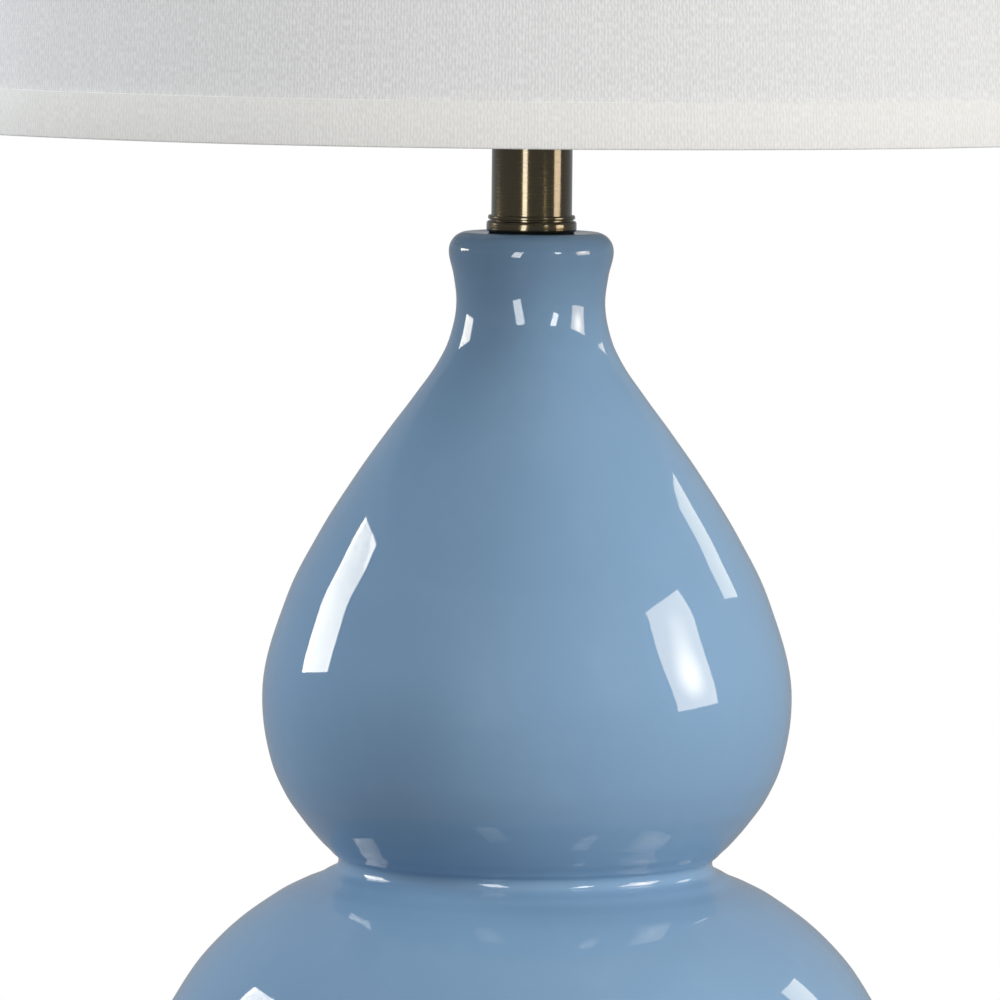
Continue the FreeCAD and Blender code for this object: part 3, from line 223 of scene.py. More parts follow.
base_brass = antique_brass("antique_brass_base", tint(90, 75, 47), tint(122, 102, 65),
                           roughness=0.26, brushing=0.6, lacquer=0.4)
base = turn("spun_base", [
    (BASE_RADIUS - SHEET, FELT_TOP), (BASE_RADIUS, FELT_TOP, 0.3), (BASE_RADIUS, STEP_TOP, 2.2),
    (STEP_RADIUS + 1.4, STEP_TOP, 0.9), (STEP_RADIUS, STEP_TOP + 1.2, 0.9),
    (STEP_RADIUS, BASE_TOP, 2.2), (ROD_HOLE, BASE_TOP), (ROD_HOLE, BASE_TOP - SHEET),
    (STEP_RADIUS - SHEET, BASE_TOP - SHEET, 1.0), (STEP_RADIUS - SHEET, STEP_TOP - SHEET, 1.0),
    (BASE_RADIUS - SHEET, STEP_TOP - SHEET, 1.0)], 160, 6)
drill(base, radius=4.5, depth=8, at=(0, BASE_RADIUS - 5, 7.7), facing=(0, 1, 0))
bpy.ops.object.shade_smooth_by_angle(angle=math.radians(35))
fit(base, base_brass, "lamp_body", "antique_brass", "base_plate")


# Bushing: black moulded nylon, snapped into the hole in the base's back so that its edge doesn't
# cut the cord.
def coat(made, *nodes):
    """Gives carried-over nodes a finish."""
    for node in nodes:
        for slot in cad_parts[node].material_slots:
            slot.material = made


nylon = finish("black_nylon", Roughness=0.5)
grain = noise(nylon, place_of(nylon), 900, 2)
surface(nylon, Base_Color=blend(nylon, grain, tint(20, 20, 21), tint(34, 34, 35)),
        Normal=relief(nylon, grain, 0.3, 0.05))
coat(nylon, "cord_bushing")


# Weight and clamping stack: a grey iron disc, cast with a rough skin, and the zinc-plated washers,
# nut and hollow threaded rod that pull the base, the ceramic and the neck together.
iron = finish("cast_iron", Metallic=1.0)
skin = noise(iron, place_of(iron), 420, 5, 0.7)
rust = noise(iron, place_of(iron), 70, 4)
surface(iron, Base_Color=blend(iron, between(iron, rust, 0, 0.5, 0.5, 0.75),
                               blend(iron, skin, tint(58, 57, 56), tint(104, 102, 99)),
                               tint(104, 70, 48)),
        Roughness=between(iron, skin, 0.5, 0.75), Normal=relief(iron, skin, 0.6, 0.35))
coat(iron, "base_weight")

zinc = finish("zinc_plate", Metallic=1.0)
bloom = noise(zinc, place_of(zinc), 260, 3)
surface(zinc, Base_Color=blend(zinc, bloom, tint(158, 160, 162), tint(206, 208, 208)),
        Roughness=between(zinc, bloom, 0.22, 0.42), Normal=relief(zinc, bloom, 0.15, 0.05))
coat(zinc, "base_washer", "base_lock_washer", "base_nut", "saddle_nut")


# Threaded rod: hollow steel pipe with a rolled thread, which the nuts clamp. Its thread shows
# between the nuts, so its turns are raised as fine rings.
thread = finish("rolled_thread", Metallic=1.0, Base_Color=tint(176, 178, 180))
turns = put(thread, "TexWave", Vector=place_of(thread), wave_type="BANDS", bands_direction="Z",
            Scale=149, Distortion=0).outputs["Fac"]
surface(thread, Normal=relief(thread, turns, 1.0, 0.4),
        Roughness=between(thread, noise(thread, place_of(thread), 300), 0.25, 0.4))
coat(thread, "threaded_rod")


# Foot gasket: a black rubber ring cut from sheet, pressed between the base and the ceramic foot
# so that the glaze doesn't ring or chip on the brass.
GASKET_TOP = 24.0
rubber = finish("black_rubber", Roughness=0.8)
chalk = noise(rubber, place_of(rubber), 500, 4)
surface(rubber, Base_Color=blend(rubber, chalk, tint(17, 17, 18), tint(40, 40, 41)),
        Normal=relief(rubber, chalk, 0.4, 0.1))
gasket = turn("foot_ring", [(60, BASE_TOP), (68.3, BASE_TOP, 0.3), (68.3, GASKET_TOP, 0.3),
                            (60, GASKET_TOP)], 128)
fit(gasket, rubber, "lamp_body", "black_rubber", "foot_gasket")
coat(rubber, "neck_gasket")


# Gourd body: slip-cast white earthenware, its two bulges swelling from a narrow waist, dipped in a
# glossy denim-blue glaze and fired standing on its bare foot ring. Each bulge's line is given as
# shares: how far the height has gone from its widest ring, and how much of its swell is left.
WALL, NECK_RADIUS, FLARE_RADIUS, LIP_TOP = 5.0, 20.5, 22.7, 349.4
FOOT = ((0.30, 0.935), (0.55, 0.765), (0.75, 0.54), (0.90, 0.27))
LOWER_SHOULDER = ((0.27, 0.946), (0.545, 0.765), (0.714, 0.588), (0.874, 0.305), (0.9135, 0.20),
                  (0.953, 0.077))
UPPER_UNDERSIDE = ((0.36, 0.90), (0.58, 0.71), (0.72, 0.51), (0.87, 0.243), (0.94, 0.093))
UPPER_SHOULDER = ((0.244, 0.878), (0.396, 0.725), (0.548, 0.531), (0.67, 0.354), (0.761, 0.2135),
                  (0.852, 0.085), (0.913, 0.030))


def swell(wide, narrow, shares):
    """The places on a bulge between its widest and its narrowest ring, from shares of its height
    and of its swell."""
    return [(narrow[0] + left * (wide[0] - narrow[0]), wide[1] + gone * (narrow[1] - wide[1]))
            for gone, left in shares]


def gourd_line(inset):
    """The gourd's half outline from its foot to its lip, and the rings where it runs upright with
    how far it stays upright there."""
    foot, belly, waist = (68.0 - inset, 27.0), (110.0 - inset, 92.0), (51.7 - inset, 175.3)
    upper, neck = (73.1 - inset, 221.2), (NECK_RADIUS - inset, 330.3)
    flare = (FLARE_RADIUS - inset, 344.1)
    places = [foot, *reversed(swell(belly, foot, FOOT)), belly,
              *swell(belly, waist, LOWER_SHOULDER), waist,
              *reversed(swell(upper, waist, UPPER_UNDERSIDE)), upper,
              *swell(upper, neck, UPPER_SHOULDER), neck]
    gentle, round_crease = 0.33, 0.6
    upright = {belly: gentle, waist: round_crease, upper: gentle, neck: gentle, flare: gentle}
    return places, upright, flare


def draw(places, upright, steps):
    """Draws a smooth line through places, which runs upright at the given ones."""
    bpy.ops.object.select_all(action="DESELECT")
    bpy.ops.curve.primitive_bezier_curve_add(location=(0, 0, 0))
    line = bpy.context.object
    line.data.dimensions = "3D"
    line.data.resolution_u = steps
    knots = line.data.splines[0].bezier_points
    knots.add(len(places) - 2)
    spots = [Vector((out * MM, 0, up * MM)) for out, up in places]
    for knot, spot in zip(knots, spots):
        knot.co = spot
        knot.handle_left_type = knot.handle_right_type = "AUTO"
    for number, place in enumerate(places):
        if place in upright:
            knot = knots[number]
            knot.handle_left_type = knot.handle_right_type = "FREE"
            before, after = spots[max(number - 1, 0)], spots[min(number + 1, len(spots) - 1)]
            reach = upright[place]
            knot.handle_left = knot.co - Vector((0, 0, (knot.co - before).z * reach))
            knot.handle_right = knot.co + Vector((0, 0, (after - knot.co).z * reach))
    return line


places, upright, flare = gourd_line(0)
bend = (NECK_RADIUS + 0.36 * (FLARE_RADIUS - NECK_RADIUS), 337.2)
lip_edge, lip = (21.32, 347.81), (18.1, LIP_TOP)
places += [bend, flare, lip_edge, lip]
line = draw(places, upright, 10)
last = line.data.splines[0].bezier_points[-1]
last.handle_left_type = last.handle_right_type = "FREE"
last.handle_left = last.co + Vector((0.9 * MM, 0, 0))
last.handle_right = last.co - Vector((0.9 * MM, 0, 0))
bpy.ops.object.convert(target="MESH")
gourd = bpy.context.object
gourd.name = gourd.data.name = "glazed_gourd"
bpy.ops.object.mode_set(mode="EDIT")
bpy.ops.mesh.select_mode(type="VERT")
inside, _, _ = gourd_line(WALL)
here = Vector((lip[0] * MM, 0, lip[1] * MM))
pick(gourd, lambda spot: near(spot, here))
bore, neck_floor, foot_hole, foot_floor = 7.0, 341.4, 9.0, 26.0
inner_line = [(bore + 0.6, LIP_TOP), (bore, LIP_TOP - 0.6), (bore, neck_floor), (16.2, neck_floor)]
inner_line += inside[:0:-1]
inner_line += [(63.0, foot_floor + WALL), (foot_hole, foot_floor + WALL), (foot_hole, foot_floor),
               (59.4, foot_floor), (60.4, GASKET_TOP + 0.3), (61.0, GASKET_TOP),
               (67.2, GASKET_TOP), (68.0, GASKET_TOP + 0.8), (68.0, 27.0)]
for out, up in inner_line:
    there = Vector((out * MM, 0, up * MM))
    bpy.ops.mesh.extrude_vertices_move(TRANSFORM_OT_translate={"value": there - here})
    here = there
bpy.ops.mesh.select_all(action="SELECT")
bpy.ops.mesh.remove_doubles(threshold=0.01 * MM)
spin(gourd, 180, 50)

glaze = finish("denim_glaze", IOR=1.52, Specular_IOR_Level=0.5)
pool = noise(glaze, place_of(glaze), 9, 3)
speck = noise(glaze, place_of(glaze), 75, 4, 0.65)
sway = noise(glaze, place_of(glaze, (1, 1, 0.7)), 26, 1)
peel = noise(glaze, place_of(glaze), 190, 2)
blue = blend(glaze, between(glaze, pool, 0.0, 1.0), tint(119, 151, 181), tint(124, 156, 186))
blue = blend(glaze, between(glaze, speck, 0.0, 0.16, 0.5, 0.8), blue, tint(137, 167, 194))
height = put(glaze, "SeparateXYZ", Vector=put(glaze, "TexCoord").outputs["Object"]).outputs["Z"]
edge = put(glaze, "Math", operation="MULTIPLY_ADD", i0=noise(glaze, place_of(glaze), 60),
           i1=1.2 * MM, i2=height).outputs["Value"]
bare = between(glaze, edge, 1.0, 0.0, 25.6 * MM, 26.2 * MM)
surface(glaze,
        Base_Color=blend(glaze, bare, blue, tint(216, 206, 188)),
        Roughness=between(glaze, bare, 0.035, 0.75, 0.0, 1.0),
        Normal=put(glaze, "Bump", Height=peel, Strength=0.02, Distance=0.2 * MM,
                   Normal=relief(glaze, sway, 0.05, 1.0)).outputs["Normal"])
fit(gourd, glaze, "lamp_body", "blue_glaze", "gourd_body")


# Neck: a cast ring with a fine groove sits on the ceramic, a drawn brass tube stands in it, and a
# cap closes the tube. All three are browned, brushed on the lathe and lacquered.
TUBE_RADIUS, TUBE_BORE, TUBE_FOOT, TUBE_TOP = 11.1, 10.3, 351.4, 385.6
neck_brass = antique_brass("antique_brass_neck", tint(78, 67, 41), tint(96, 82, 51),
                           roughness=0.22, brushing=0.7, lacquer=1.0)
ring_out, ring_top, groove, bead_out, bead_top = 12.4, 352.6, 11.45, 12.0, 354.1
seat = turn("seat_bulge", [
    (ROD_HOLE, 350.2), (11.0, 350.2), (11.0, LIP_TOP), (ring_out, LIP_TOP, 0.9),
    (ring_out, ring_top, 0.85), (groove, ring_top), (groove, ring_top + 0.35),
    (bead_out, ring_top + 0.35, 0.3), (bead_out, bead_top, 0.45), (TUBE_RADIUS + 0.1, bead_top),
    (TUBE_RADIUS + 0.1, TUBE_FOOT), (ROD_HOLE, TUBE_FOOT)], 96, 6)
fit(seat, neck_brass, "lamp_body", "antique_brass", "seat_ring")
tube = turn("brushed_tube", [(TUBE_BORE, TUBE_FOOT), (TUBE_RADIUS, TUBE_FOOT),
                             (TUBE_RADIUS, TUBE_TOP), (TUBE_BORE, TUBE_TOP)], 128)
fit(tube, neck_brass, "lamp_body", "antique_brass", "neck_tube")
cap_out, cap_thick = 12.6, 3.0
cap = turn("tube_cover", [
    (ROD_HOLE, TUBE_TOP - cap_thick), (TUBE_BORE - 0.1, TUBE_TOP - cap_thick),
    (TUBE_BORE - 0.1, TUBE_TOP), (cap_out, TUBE_TOP, 0.9), (cap_out, TUBE_TOP + cap_thick, 0.9),
    (ROD_HOLE, TUBE_TOP + cap_thick)], 96, 5)
fit(cap, neck_brass, "lamp_body", "antique_brass", "tube_cap")


# Saddle and harp: a stamped steel saddle with two ears, and a bow of spring wire bent to clear the
# bulb, both browned. Its two sleeves slide down over the ears and lock it.
LEG_OUT, LEG_FOOT, BOW_OUT, CROWN = 34.5, 390.6, 57.0, 599.6
harp_brass = antique_brass("antique_brass_harp", tint(104, 87, 56), tint(142, 119, 77),
                           roughness=0.28, brushing=0.3)
coat(harp_brass, "harp_saddle")


def bend_wire(name, route, radius, round_off):
    """Wire bent along a route of places in millimetres: a line whose corners are rounded, swept by
    a round section and capped."""
    bpy.ops.object.select_all(action="DESELECT")
    bpy.ops.mesh.primitive_plane_add(size=MM)
    wire = bpy.context.object
    wire.name = wire.data.name = name
    bpy.ops.object.mode_set(mode="EDIT")
    bpy.ops.mesh.select_mode(type="VERT")
    bpy.ops.mesh.merge(type="CENTER")
    spots = [Vector(place) * MM for place in route]
    bpy.ops.transform.translate(value=spots[0])
    for here, there in zip(spots, spots[1:]):
        bpy.ops.mesh.extrude_vertices_move(TRANSFORM_OT_translate={"value": there - here})
    for number, reach in round_off:
        pick(wire, lambda spot: near(spot, spots[number]))
        bpy.ops.mesh.bevel(offset=reach * MM, segments=12, affect="VERTICES")
    bpy.ops.object.mode_set(mode="OBJECT")
    bpy.ops.object.convert(target="CURVE")
    wire = bpy.context.object
    wire.data.bevel_depth = radius * MM
    wire.data.bevel_resolution = 4
    wire.data.use_fill_caps = True
    bpy.ops.object.convert(target="MESH")
    wire = bpy.context.object
    wire.name = wire.data.name = name
    bpy.ops.object.shade_smooth_by_angle(angle=math.radians(40))
    return wire


bow_route = [(LEG_OUT, 0, LEG_FOOT), (LEG_OUT, 0, LEG_FOOT + 50), (BOW_OUT, 0, LEG_FOOT + 84),
             (BOW_OUT, 0, CROWN - 52), (32, 0, CROWN)]
bow_route += [(-out, y, up) for out, y, up in reversed(bow_route)]
leg_bend, crown_bend = 18.3, 25.9
round_off = [(1, leg_bend), (2, leg_bend), (3, crown_bend), (4, crown_bend)]
round_off += [(len(bow_route) - 1 - number, reach) for number, reach in round_off]
bow = bend_wire("harp_bow", bow_route, 1.8, round_off)
fit(bow, harp_brass, "lamp_body", "antique_brass", "harp")
block, flange, screw = 4.6, 9.0, 3.1
flange_top, screw_top = 604.1, 616.1
stud = turn("harp_screw", [
    (0, CROWN - 3), (block, CROWN - 3, 0.5), (block, CROWN + 3, 0.3), (flange, CROWN + 3, 0.5),
    (flange, flange_top, 0.5), (screw, flange_top), (screw, screw_top, 0.4), (0, screw_top)],
    64, ring=False)
fit(stud, harp_brass, "lamp_body", "antique_brass", "harp_stud")
coat(harp_brass, "harp_sleeve_left", "harp_sleeve_right")


# Socket: a brass cup and shell pressed together, a fibre sleeve between the shell and the moulded
# core, and the threaded screw shell that holds the bulb. The knob turns the rotary switch.
socket_brass = antique_brass("socket_brass", tint(150, 122, 72), tint(196, 164, 104),
                             roughness=0.26, brushing=0.5)
coat(socket_brass, "socket_cap", "socket_shell")
coat(zinc, "socket_set_screw", "terminal_screws", "switch_shaft")

fibre = finish("hard_fibre", Roughness=0.8)
pulp = noise(fibre, place_of(fibre), 700, 4)
surface(fibre, Base_Color=blend(fibre, pulp, tint(40, 38, 36), tint(66, 62, 58)),
        Normal=relief(fibre, pulp, 0.4, 0.08))
coat(fibre, "socket_insulator")

moulding = finish("moulded_core", Roughness=0.45)
flow = noise(moulding, place_of(moulding), 240, 3)
surface(moulding, Base_Color=blend(moulding, flow, tint(24, 22, 21), tint(42, 39, 37)),
        Normal=relief(moulding, flow, 0.25, 0.08))
coat(moulding, "socket_core")

contact_brass = finish("contact_brass", Metallic=1.0)
wear = noise(contact_brass, place_of(contact_brass), 300, 3)
surface(contact_brass,
        Base_Color=blend(contact_brass, wear, tint(190, 152, 84), tint(222, 190, 122)),
        Roughness=between(contact_brass, wear, 0.2, 0.36),
        Normal=relief(contact_brass, wear, 0.15, 0.05))
coat(contact_brass, "screw_shell", "centre_contact")

knob_black = finish("black_phenolic", Coat_Weight=0.3, Coat_Roughness=0.2)
dust = noise(knob_black, place_of(knob_black), 420, 3)
surface(knob_black, Base_Color=blend(knob_black, dust, tint(20, 18, 17), tint(38, 35, 33)),
        Roughness=between(knob_black, dust, 0.32, 0.5), Normal=relief(knob_black, dust, 0.2, 0.05))
coat(knob_black, "switch_knob")


# Bulb: a blown glass globe frosted inside, its neck sealed in a spun aluminium cap with a rolled
# thread, and a black glass insulator round the soldered tip.
cap_metal = finish("bare_aluminium", Metallic=1.0)
roll = noise(cap_metal, place_of(cap_metal, (1, 1, 8)), 120, 3)
surface(cap_metal, Base_Color=blend(cap_metal, roll, tint(176, 176, 178), tint(222, 222, 222)),
        Roughness=between(cap_metal, roll, 0.24, 0.38), Normal=relief(cap_metal, roll, 0.2, 0.08))
coat(cap_metal, "bulb_screw_cap", "bulb_tip")

black_glass = finish("black_glass", Roughness=0.12)
swirl = noise(black_glass, place_of(black_glass), 200)
surface(black_glass, Base_Color=blend(black_glass, swirl, tint(10, 10, 12), tint(24, 24, 28)))
coat(black_glass, "bulb_insulator")

clear = finish("clear_glass", Transmission_Weight=1.0, Roughness=0.02, IOR=1.5)
seed = noise(clear, place_of(clear), 160)
surface(clear, Base_Color=blend(clear, seed, tint(236, 240, 240), tint(250, 252, 252)))
coat(clear, "bulb_stem")

tungsten = finish("lead_wire", Metallic=1.0)
drawn = noise(tungsten, place_of(tungsten), 800)
surface(tungsten, Base_Color=blend(tungsten, drawn, tint(110, 110, 112), tint(168, 168, 170)),
        Roughness=between(tungsten, drawn, 0.25, 0.4))
coat(tungsten, "bulb_filament")

frosted = finish("frosted_glass", Subsurface_Weight=0.35, Subsurface_Radius=(0.01, 0.01, 0.01),
                 Subsurface_Scale=1.0, Coat_Weight=0.6, Coat_Roughness=0.08)
etch = noise(frosted, place_of(frosted), 900, 3)
surface(frosted, Base_Color=blend(frosted, etch, tint(232, 232, 229), tint(246, 246, 243)),
        Roughness=between(frosted, etch, 0.3, 0.45), Normal=relief(frosted, etch, 0.08, 0.03))
coat(frosted, "bulb_globe")


# Shade: slub linen laminated to a white styrene lining, rolled into a tapered drum and held by a
# wire ring in each edge, with the edges bound in the same linen folded over the rings.
SHADE_FOOT, SHADE_HEAD, SHADE_MIDDLE = 379.1, 620.4, 500
FOOT_RADIUS, HEAD_RADIUS, MAP_RADIUS = 184.0, 165.0, 180.0
LINEN, LINING = 0.8, 0.55


def shade_out(up):
    """How far the linen stands from the axis at a height."""
    return FOOT_RADIUS - (up - SHADE_FOOT) * (FOOT_RADIUS - HEAD_RADIUS) / 241.3


def wrap(piece):
    """Gives a round piece of cloth its own map: metres round it and metres up it, with the cut
    ends of the cloth meeting at the back."""
    charts = piece.data.uv_layers
    chart = charts[0] if charts else charts.new(name="cloth")
    for face in piece.data.polygons:
        side = math.atan2(face.center.x, -face.center.y)
        for loop in face.loop_indices:
            spot = piece.data.vertices[piece.data.loops[loop].vertex_index].co
            angle = math.atan2(spot.x, -spot.y)
            if angle - side > math.pi:
                angle -= math.tau
            elif side - angle > math.pi:
                angle += math.tau
            chart.data[loop].uv = (angle * MAP_RADIUS * MM, spot.z)


def linen_finish(name, pale, shaded, rib_depth):
    """Plain-woven linen: upright ribs of uneven thickness, finer threads across, and slubs."""
    rib_scale = 380
    made = finish(name, Roughness=0.9, Sheen_Weight=0.15, Sheen_Roughness=0.4)
    drift = noise(made, place_of(made, (260, 26, 1), source="UV"), 1.0, 2)
    aside = put(made, "Math", operation="MULTIPLY", i0=drift, i1=0.9 * MM).outputs["Value"]
    moved = put(made, "VectorMath", operation="ADD", i0=place_of(made, source="UV"),
                i1=put(made, "CombineXYZ", X=aside).outputs["Vector"]).outputs["Vector"]
    ribs = put(made, "TexWave", wave_type="BANDS", bands_direction="X", Vector=moved,
               Scale=rib_scale, Distortion=0).outputs["Fac"]
    picks = put(made, "TexWave", wave_type="BANDS", bands_direction="Y",
                Vector=place_of(made, source="UV"), Scale=rib_scale * 1.5,
                Distortion=0).outputs["Fac"]
    cords = noise(made, place_of(made, (2500, 640, 1), source="UV"), 1.0, 0)
    slubs = noise(made, place_of(made, (420, 30, 1), source="UV"), 1.0, 3)
    bars = noise(made, place_of(made, (18, 640, 1), source="UV"), 1.0, 3)
    weave = blend(made, 0.3, ribs, picks)
    weave = blend(made, 0.5, weave, between(made, cords, 0.0, 1.0, 0.33, 0.67))
    weave = blend(made, 0.14, weave, between(made, slubs, 0.0, 1.0))
    tone = blend(made, between(made, weave, 0.0, 1.0, 0.3, 0.75), shaded, pale)
    tone = blend(made, between(made, bars, 0.0, 0.25, 0.55, 0.8), tone, shaded)
    surface(made, Base_Color=tone, Normal=relief(made, weave, 0.6, rib_depth))
    return made


linen = linen_finish("slub_linen", tint(240, 239, 238), tint(224, 223, 222), 0.19)
binding = linen_finish("bound_linen", tint(244, 242, 238), tint(233, 231, 226), 0.13)
rows = [SHADE_FOOT + 0.7, SHADE_MIDDLE, SHADE_HEAD - 0.7]
drum = turn("linen_drum", [(shade_out(up), up) for up in rows]
            + [(shade_out(up) - LINEN, up) for up in reversed(rows)], 256)
wrap(drum)
fit(drum, linen, "shade", "linen", "shade_fabric")


def edge_binding(name, edge, inward, node):
    """A bias-cut strip folded over a wire ring, from its outer hem to its inner one."""
    strip_thick, wire_radius, gap, lap = 0.6, 1.4, 0.15, 0.05
    hem, fold = edge + inward * 12.0, edge + inward * 6.5
    bottom, wire = edge + inward * strip_thick, edge + inward * (strip_thick + 0.05 + wire_radius)
    face = shade_out(wire) - LINEN - LINING - gap - wire_radius - wire_radius - gap
    strip = turn(name, [
        (shade_out(edge) + lap + strip_thick, edge, 0.5),
        (shade_out(hem) + lap + strip_thick, hem, 0.2),
        (shade_out(hem) + lap, hem), (shade_out(bottom) + lap, bottom), (face, bottom),
        (face, fold), (face - strip_thick, fold, 0.2), (face - strip_thick, edge, 0.5)],
        256, 3, 40)
    wrap(strip)
    fit(strip, binding, "shade", "linen_binding", node)
    return strip


lower_strip = edge_binding("lower_binding", SHADE_FOOT, 1, "shade_bottom_trim")
upper_strip = edge_binding("upper_binding", SHADE_HEAD, -1, "shade_top_trim")

styrene = finish("styrene_lining", Roughness=0.55)
haze = noise(styrene, place_of(styrene), 60, 3)
surface(styrene, Base_Color=blend(styrene, haze, tint(236, 235, 231), tint(245, 244, 241)),
        Normal=relief(styrene, haze, 0.15, 0.2))
coat(styrene, "shade_lining")

white_wire = finish("white_wire", Coat_Weight=0.3, Coat_Roughness=0.2)
drip = noise(white_wire, place_of(white_wire), 240)
surface(white_wire, Base_Color=blend(white_wire, drip, tint(222, 221, 217), tint(240, 239, 236)),
        Roughness=between(white_wire, drip, 0.3, 0.45), Normal=relief(white_wire, drip, 0.2, 0.1))
coat(white_wire, "shade_bottom_ring", "shade_top_ring")
coat(harp_brass, "spider_hub", "spider_arm_1", "spider_arm_2", "spider_arm_3")


# Finial: a turned ball on a short flared foot, pressed over a threaded brass insert. It screws
# down on the harp's stud and holds the shade.
finial_brass = antique_brass("antique_brass_finial", tint(92, 77, 48), tint(126, 106, 68),
                             roughness=0.22, brushing=0.5, lacquer=0.4)
coat(finial_brass, "finial_knob")
coat(contact_brass, "finial_insert")


# Studio: a pale round floor that the lamp doesn't mirror, and a surround that the camera sees as
# white and that lights everything softly from all round, a little more from above.
FLOOR_RADIUS = 0.92
bpy.ops.object.select_all(action="DESELECT")
bpy.ops.mesh.primitive_circle_add(vertices=96, radius=FLOOR_RADIUS, fill_type="NGON",
                                  location=(0, 0, 0))
floor = bpy.context.object
floor.name = "studio_floor"
paper = finish("pale_paper", Roughness=0.85)
mottle = noise(paper, place_of(paper), 3, 2)
surface(paper, Base_Color=blend(paper, mottle, tint(230, 230, 230), tint(236, 236, 236)))
floor.data.materials.append(paper)
floor.visible_diffuse = floor.visible_glossy = False

surround = bpy.data.worlds.new("surround")
surround.use_nodes = True
bpy.context.scene.world = surround
nodes, links = surround.node_tree.nodes, surround.node_tree.links
bright = nodes["Background"]
bright.inputs["Color"].default_value = (1, 1, 1, 1)
bright.inputs["Strength"].default_value = 1.0
soft = nodes.new("ShaderNodeBackground")
soft.inputs["Color"].default_value = (0.93, 0.96, 1.0, 1)
level = nodes.new("ShaderNodeSeparateXYZ")
links.new(nodes.new("ShaderNodeTexCoord").outputs["Generated"], level.inputs["Vector"])
horizon = nodes.new("ShaderNodeMapRange")
for name, given in (("From Min", -0.12), ("From Max", 0.3), ("To Min", 0.34), ("To Max", 0.4)):
    horizon.inputs[name].default_value = given
links.new(level.outputs["Z"], horizon.inputs["Value"])
links.new(horizon.outputs["Result"], soft.inputs["Strength"])
path = nodes.new("ShaderNodeLightPath")
pair = nodes.new("ShaderNodeMixShader")
links.new(path.outputs["Is Camera Ray"], pair.inputs["Fac"])
links.new(soft.outputs["Background"], pair.inputs[1])
links.new(bright.outputs["Background"], pair.inputs[2])
links.new(pair.outputs["Shader"], nodes["World Output"].inputs["Surface"])


# Softboxes: lamps behind a rectangle of white cloth. The strips, panel, window and slit show in
# the glaze and the brass, and the fills only light. Some fills are kept to a few pieces.
SHADE_AIM, NECK_AIM = (0, 0, 0.42), (0, 0, 0.32)


def softbox(name, azimuth, elevation, distance, wide, tall, power, aim=(0, 0, 0.25), tilt=0,
            colour=(1, 1, 1)):
    """A softbox that faces a place on the lamp. Azimuth 0 is towards the camera, and it grows to
    the right."""
    turned, lifted = math.radians(azimuth), math.radians(elevation)
    out = Vector((math.sin(turned) * math.cos(lifted), -math.cos(turned) * math.cos(lifted),
                  math.sin(lifted)))
    bpy.ops.object.light_add(type="AREA", location=Vector(aim) + out * distance)
    box = bpy.context.object
    box.name = name
    leaning = Quaternion((0, 0, 1), math.radians(tilt))
    box.rotation_euler = (out.to_track_quat("Z", "Y") @ leaning).to_euler()
    box.data.shape = "RECTANGLE"
    box.data.size, box.data.size_y = wide, tall
    box.data.energy = power
    box.data.color = colour
    box.visible_camera = False
    return box


def only_on(box, *pieces):
    """Keeps a fill's light to some pieces, as barn doors would, and the fill out of mirrors."""
    lit = bpy.data.collections.new(box.name)
    for piece in pieces:
        lit.objects.link(piece)
    box.light_linking.receiver_collection = lit
    box.visible_glossy = False


strip_left = softbox("strip_left", -110, 19.2, 1.7, 0.56, 0.69, 14, tilt=15,
                     colour=(1, 0.945, 0.84))
strip_left.visible_diffuse = False
fill_left = softbox("fill_left", -110, 19.2, 1.7, 0.56, 0.69, 17.5, colour=(0.86, 0.94, 1))
fill_left.visible_glossy = False
softbox("strip_right", 123, 23, 1.7, 0.35, 0.37, 1.7, tilt=-21, colour=(1, 0.92, 0.76))

# Panel: the large softbox on the right, whose front cloth is brightest near its middle, where its
# lamp stands behind it, and falls off towards the edges.
panel = softbox("panel_right", 77, 16, 1.8, 0.74, 1.05, 22, tilt=5, colour=(1, 0.88, 0.73))
panel.visible_diffuse = False
panel.data.use_nodes = True
lamp_nodes, lamp_links = panel.data.node_tree.nodes, panel.data.node_tree.links
from_lamp = lamp_nodes.new("ShaderNodeVectorMath")
from_lamp.operation = "DISTANCE"
from_lamp.inputs[1].default_value = (0.5, 0.47, 0)
cloth = lamp_nodes.new("ShaderNodeNewGeometry").outputs["Parametric"]
lamp_links.new(cloth, from_lamp.inputs[0])
fade = lamp_nodes.new("ShaderNodeMapRange")
fade.interpolation_type = "SMOOTHSTEP"
for name, given in (("From Min", 0.0), ("From Max", 0.42), ("To Min", 1.9), ("To Max", 0.84)):
    fade.inputs[name].default_value = given
lamp_links.new(from_lamp.outputs["Value"], fade.inputs["Value"])
lamp_links.new(fade.outputs["Result"], lamp_nodes["Emission"].inputs["Strength"])

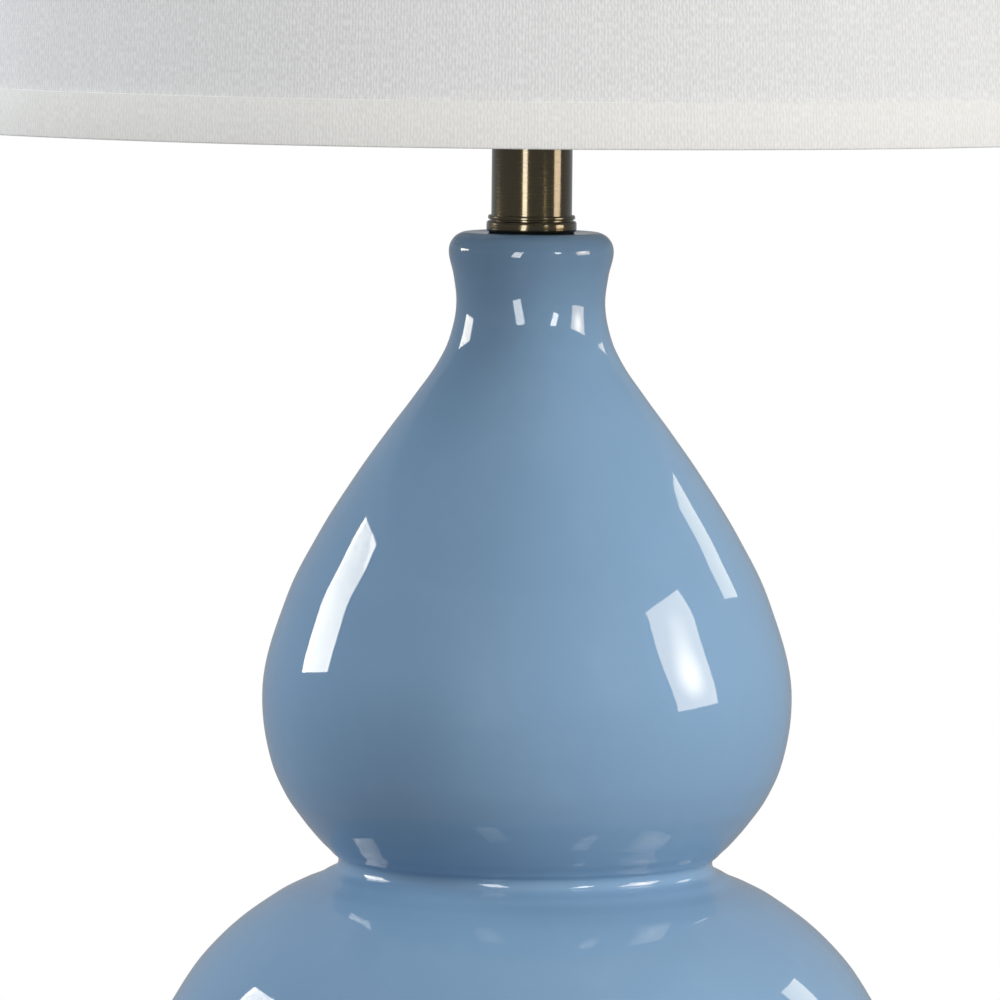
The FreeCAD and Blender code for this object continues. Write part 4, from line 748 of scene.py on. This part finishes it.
fill_shade = softbox("fill_shade", -75, 5, 2.0, 1.0, 0.6, 9.5, SHADE_AIM)
only_on(fill_shade, drum, lower_strip, upper_strip)
fill_drum = softbox("fill_drum", 34, 4, 2.2, 1.0, 0.6, 9.0, SHADE_AIM)
only_on(fill_drum, drum, lower_strip, upper_strip)
only_on(softbox("fill_gourd", 60, 15, 1.9, 0.8, 0.6, 20, colour=(1, 0.98, 0.94)), gourd)
window = softbox("window_left", -18.5, 4, 1.2, 0.26, 0.64, 5.4, NECK_AIM, tilt=-14)
slit = softbox("slit_right", 36, 14.6, 1.2, 0.17, 0.42, 3.2, NECK_AIM, tilt=20)
window.visible_diffuse = slit.visible_diffuse = False
fill_right = softbox("fill_right", 40, 18, 2.4, 1.0, 1.0, 21.3, colour=(1, 0.985, 0.96))
fill_right.visible_glossy = False
only_on(softbox("fill_shoulder", -50, 52, 2.0, 0.8, 0.8, 4), gourd)
only_on(softbox("fill_left_front", -42, 10, 2.0, 0.8, 0.8, 2.4), gourd)


# Flags: two glowing cards close to the lamp, which give off as much light as the surround and show
# only in reflections. They keep the window and the slit out of the glaze on the upper bulge.
# The cards' finish is emitted light at the surround's brightness: painted light, not a lamp.
glow = finish("card_glow", Base_Color=(0, 0, 0, 1), Specular_IOR_Level=0.0, Roughness=1.0,
              Emission_Color=(0.95, 0.97, 1, 1), Emission_Strength=0.46)


def flag(name, azimuth, wide, bottom, top):
    """A card that stands square to a direction, from one height to another."""
    turned = math.radians(azimuth)
    out = Vector((math.sin(turned), -math.cos(turned), 0))
    middle = out * 0.13 + Vector((0, 0, (bottom + top) / 2))
    bpy.ops.mesh.primitive_plane_add(size=1, location=middle, rotation=(math.pi / 2, 0, turned))
    card = bpy.context.object
    card.name = name
    card.scale = (wide, top - bottom, 1)
    card.visible_camera = card.visible_diffuse = card.visible_shadow = False
    card.visible_transmission = False
    card.data.materials.append(glow)


flag("flag_left", -13, 0.056, 0.211, 0.288)
flag("flag_right", 27, 0.044, 0.23, 0.288)


# Camera: it stands a little over two metres off with a long lens, just above the shade's rim, and
# is rolled by half a degree, as in the photograph.
ROLL = 0.546
bpy.ops.object.camera_add(location=(0, -2.2, 0.4557))
camera = bpy.context.object
camera.data.sensor_width = 36
camera.data.lens = 288.3
aim = Vector((-0.00795, 0, 0.2754))
camera.rotation_mode = "QUATERNION"
level_view = (camera.location - aim).to_track_quat("Z", "Y")
camera.rotation_quaternion = level_view @ Quaternion((0, 0, 1), math.radians(ROLL))
camera.data.clip_start, camera.data.clip_end = 0.5, 60
bpy.context.scene.camera = camera
bpy.context.scene.view_settings.view_transform = "Standard"
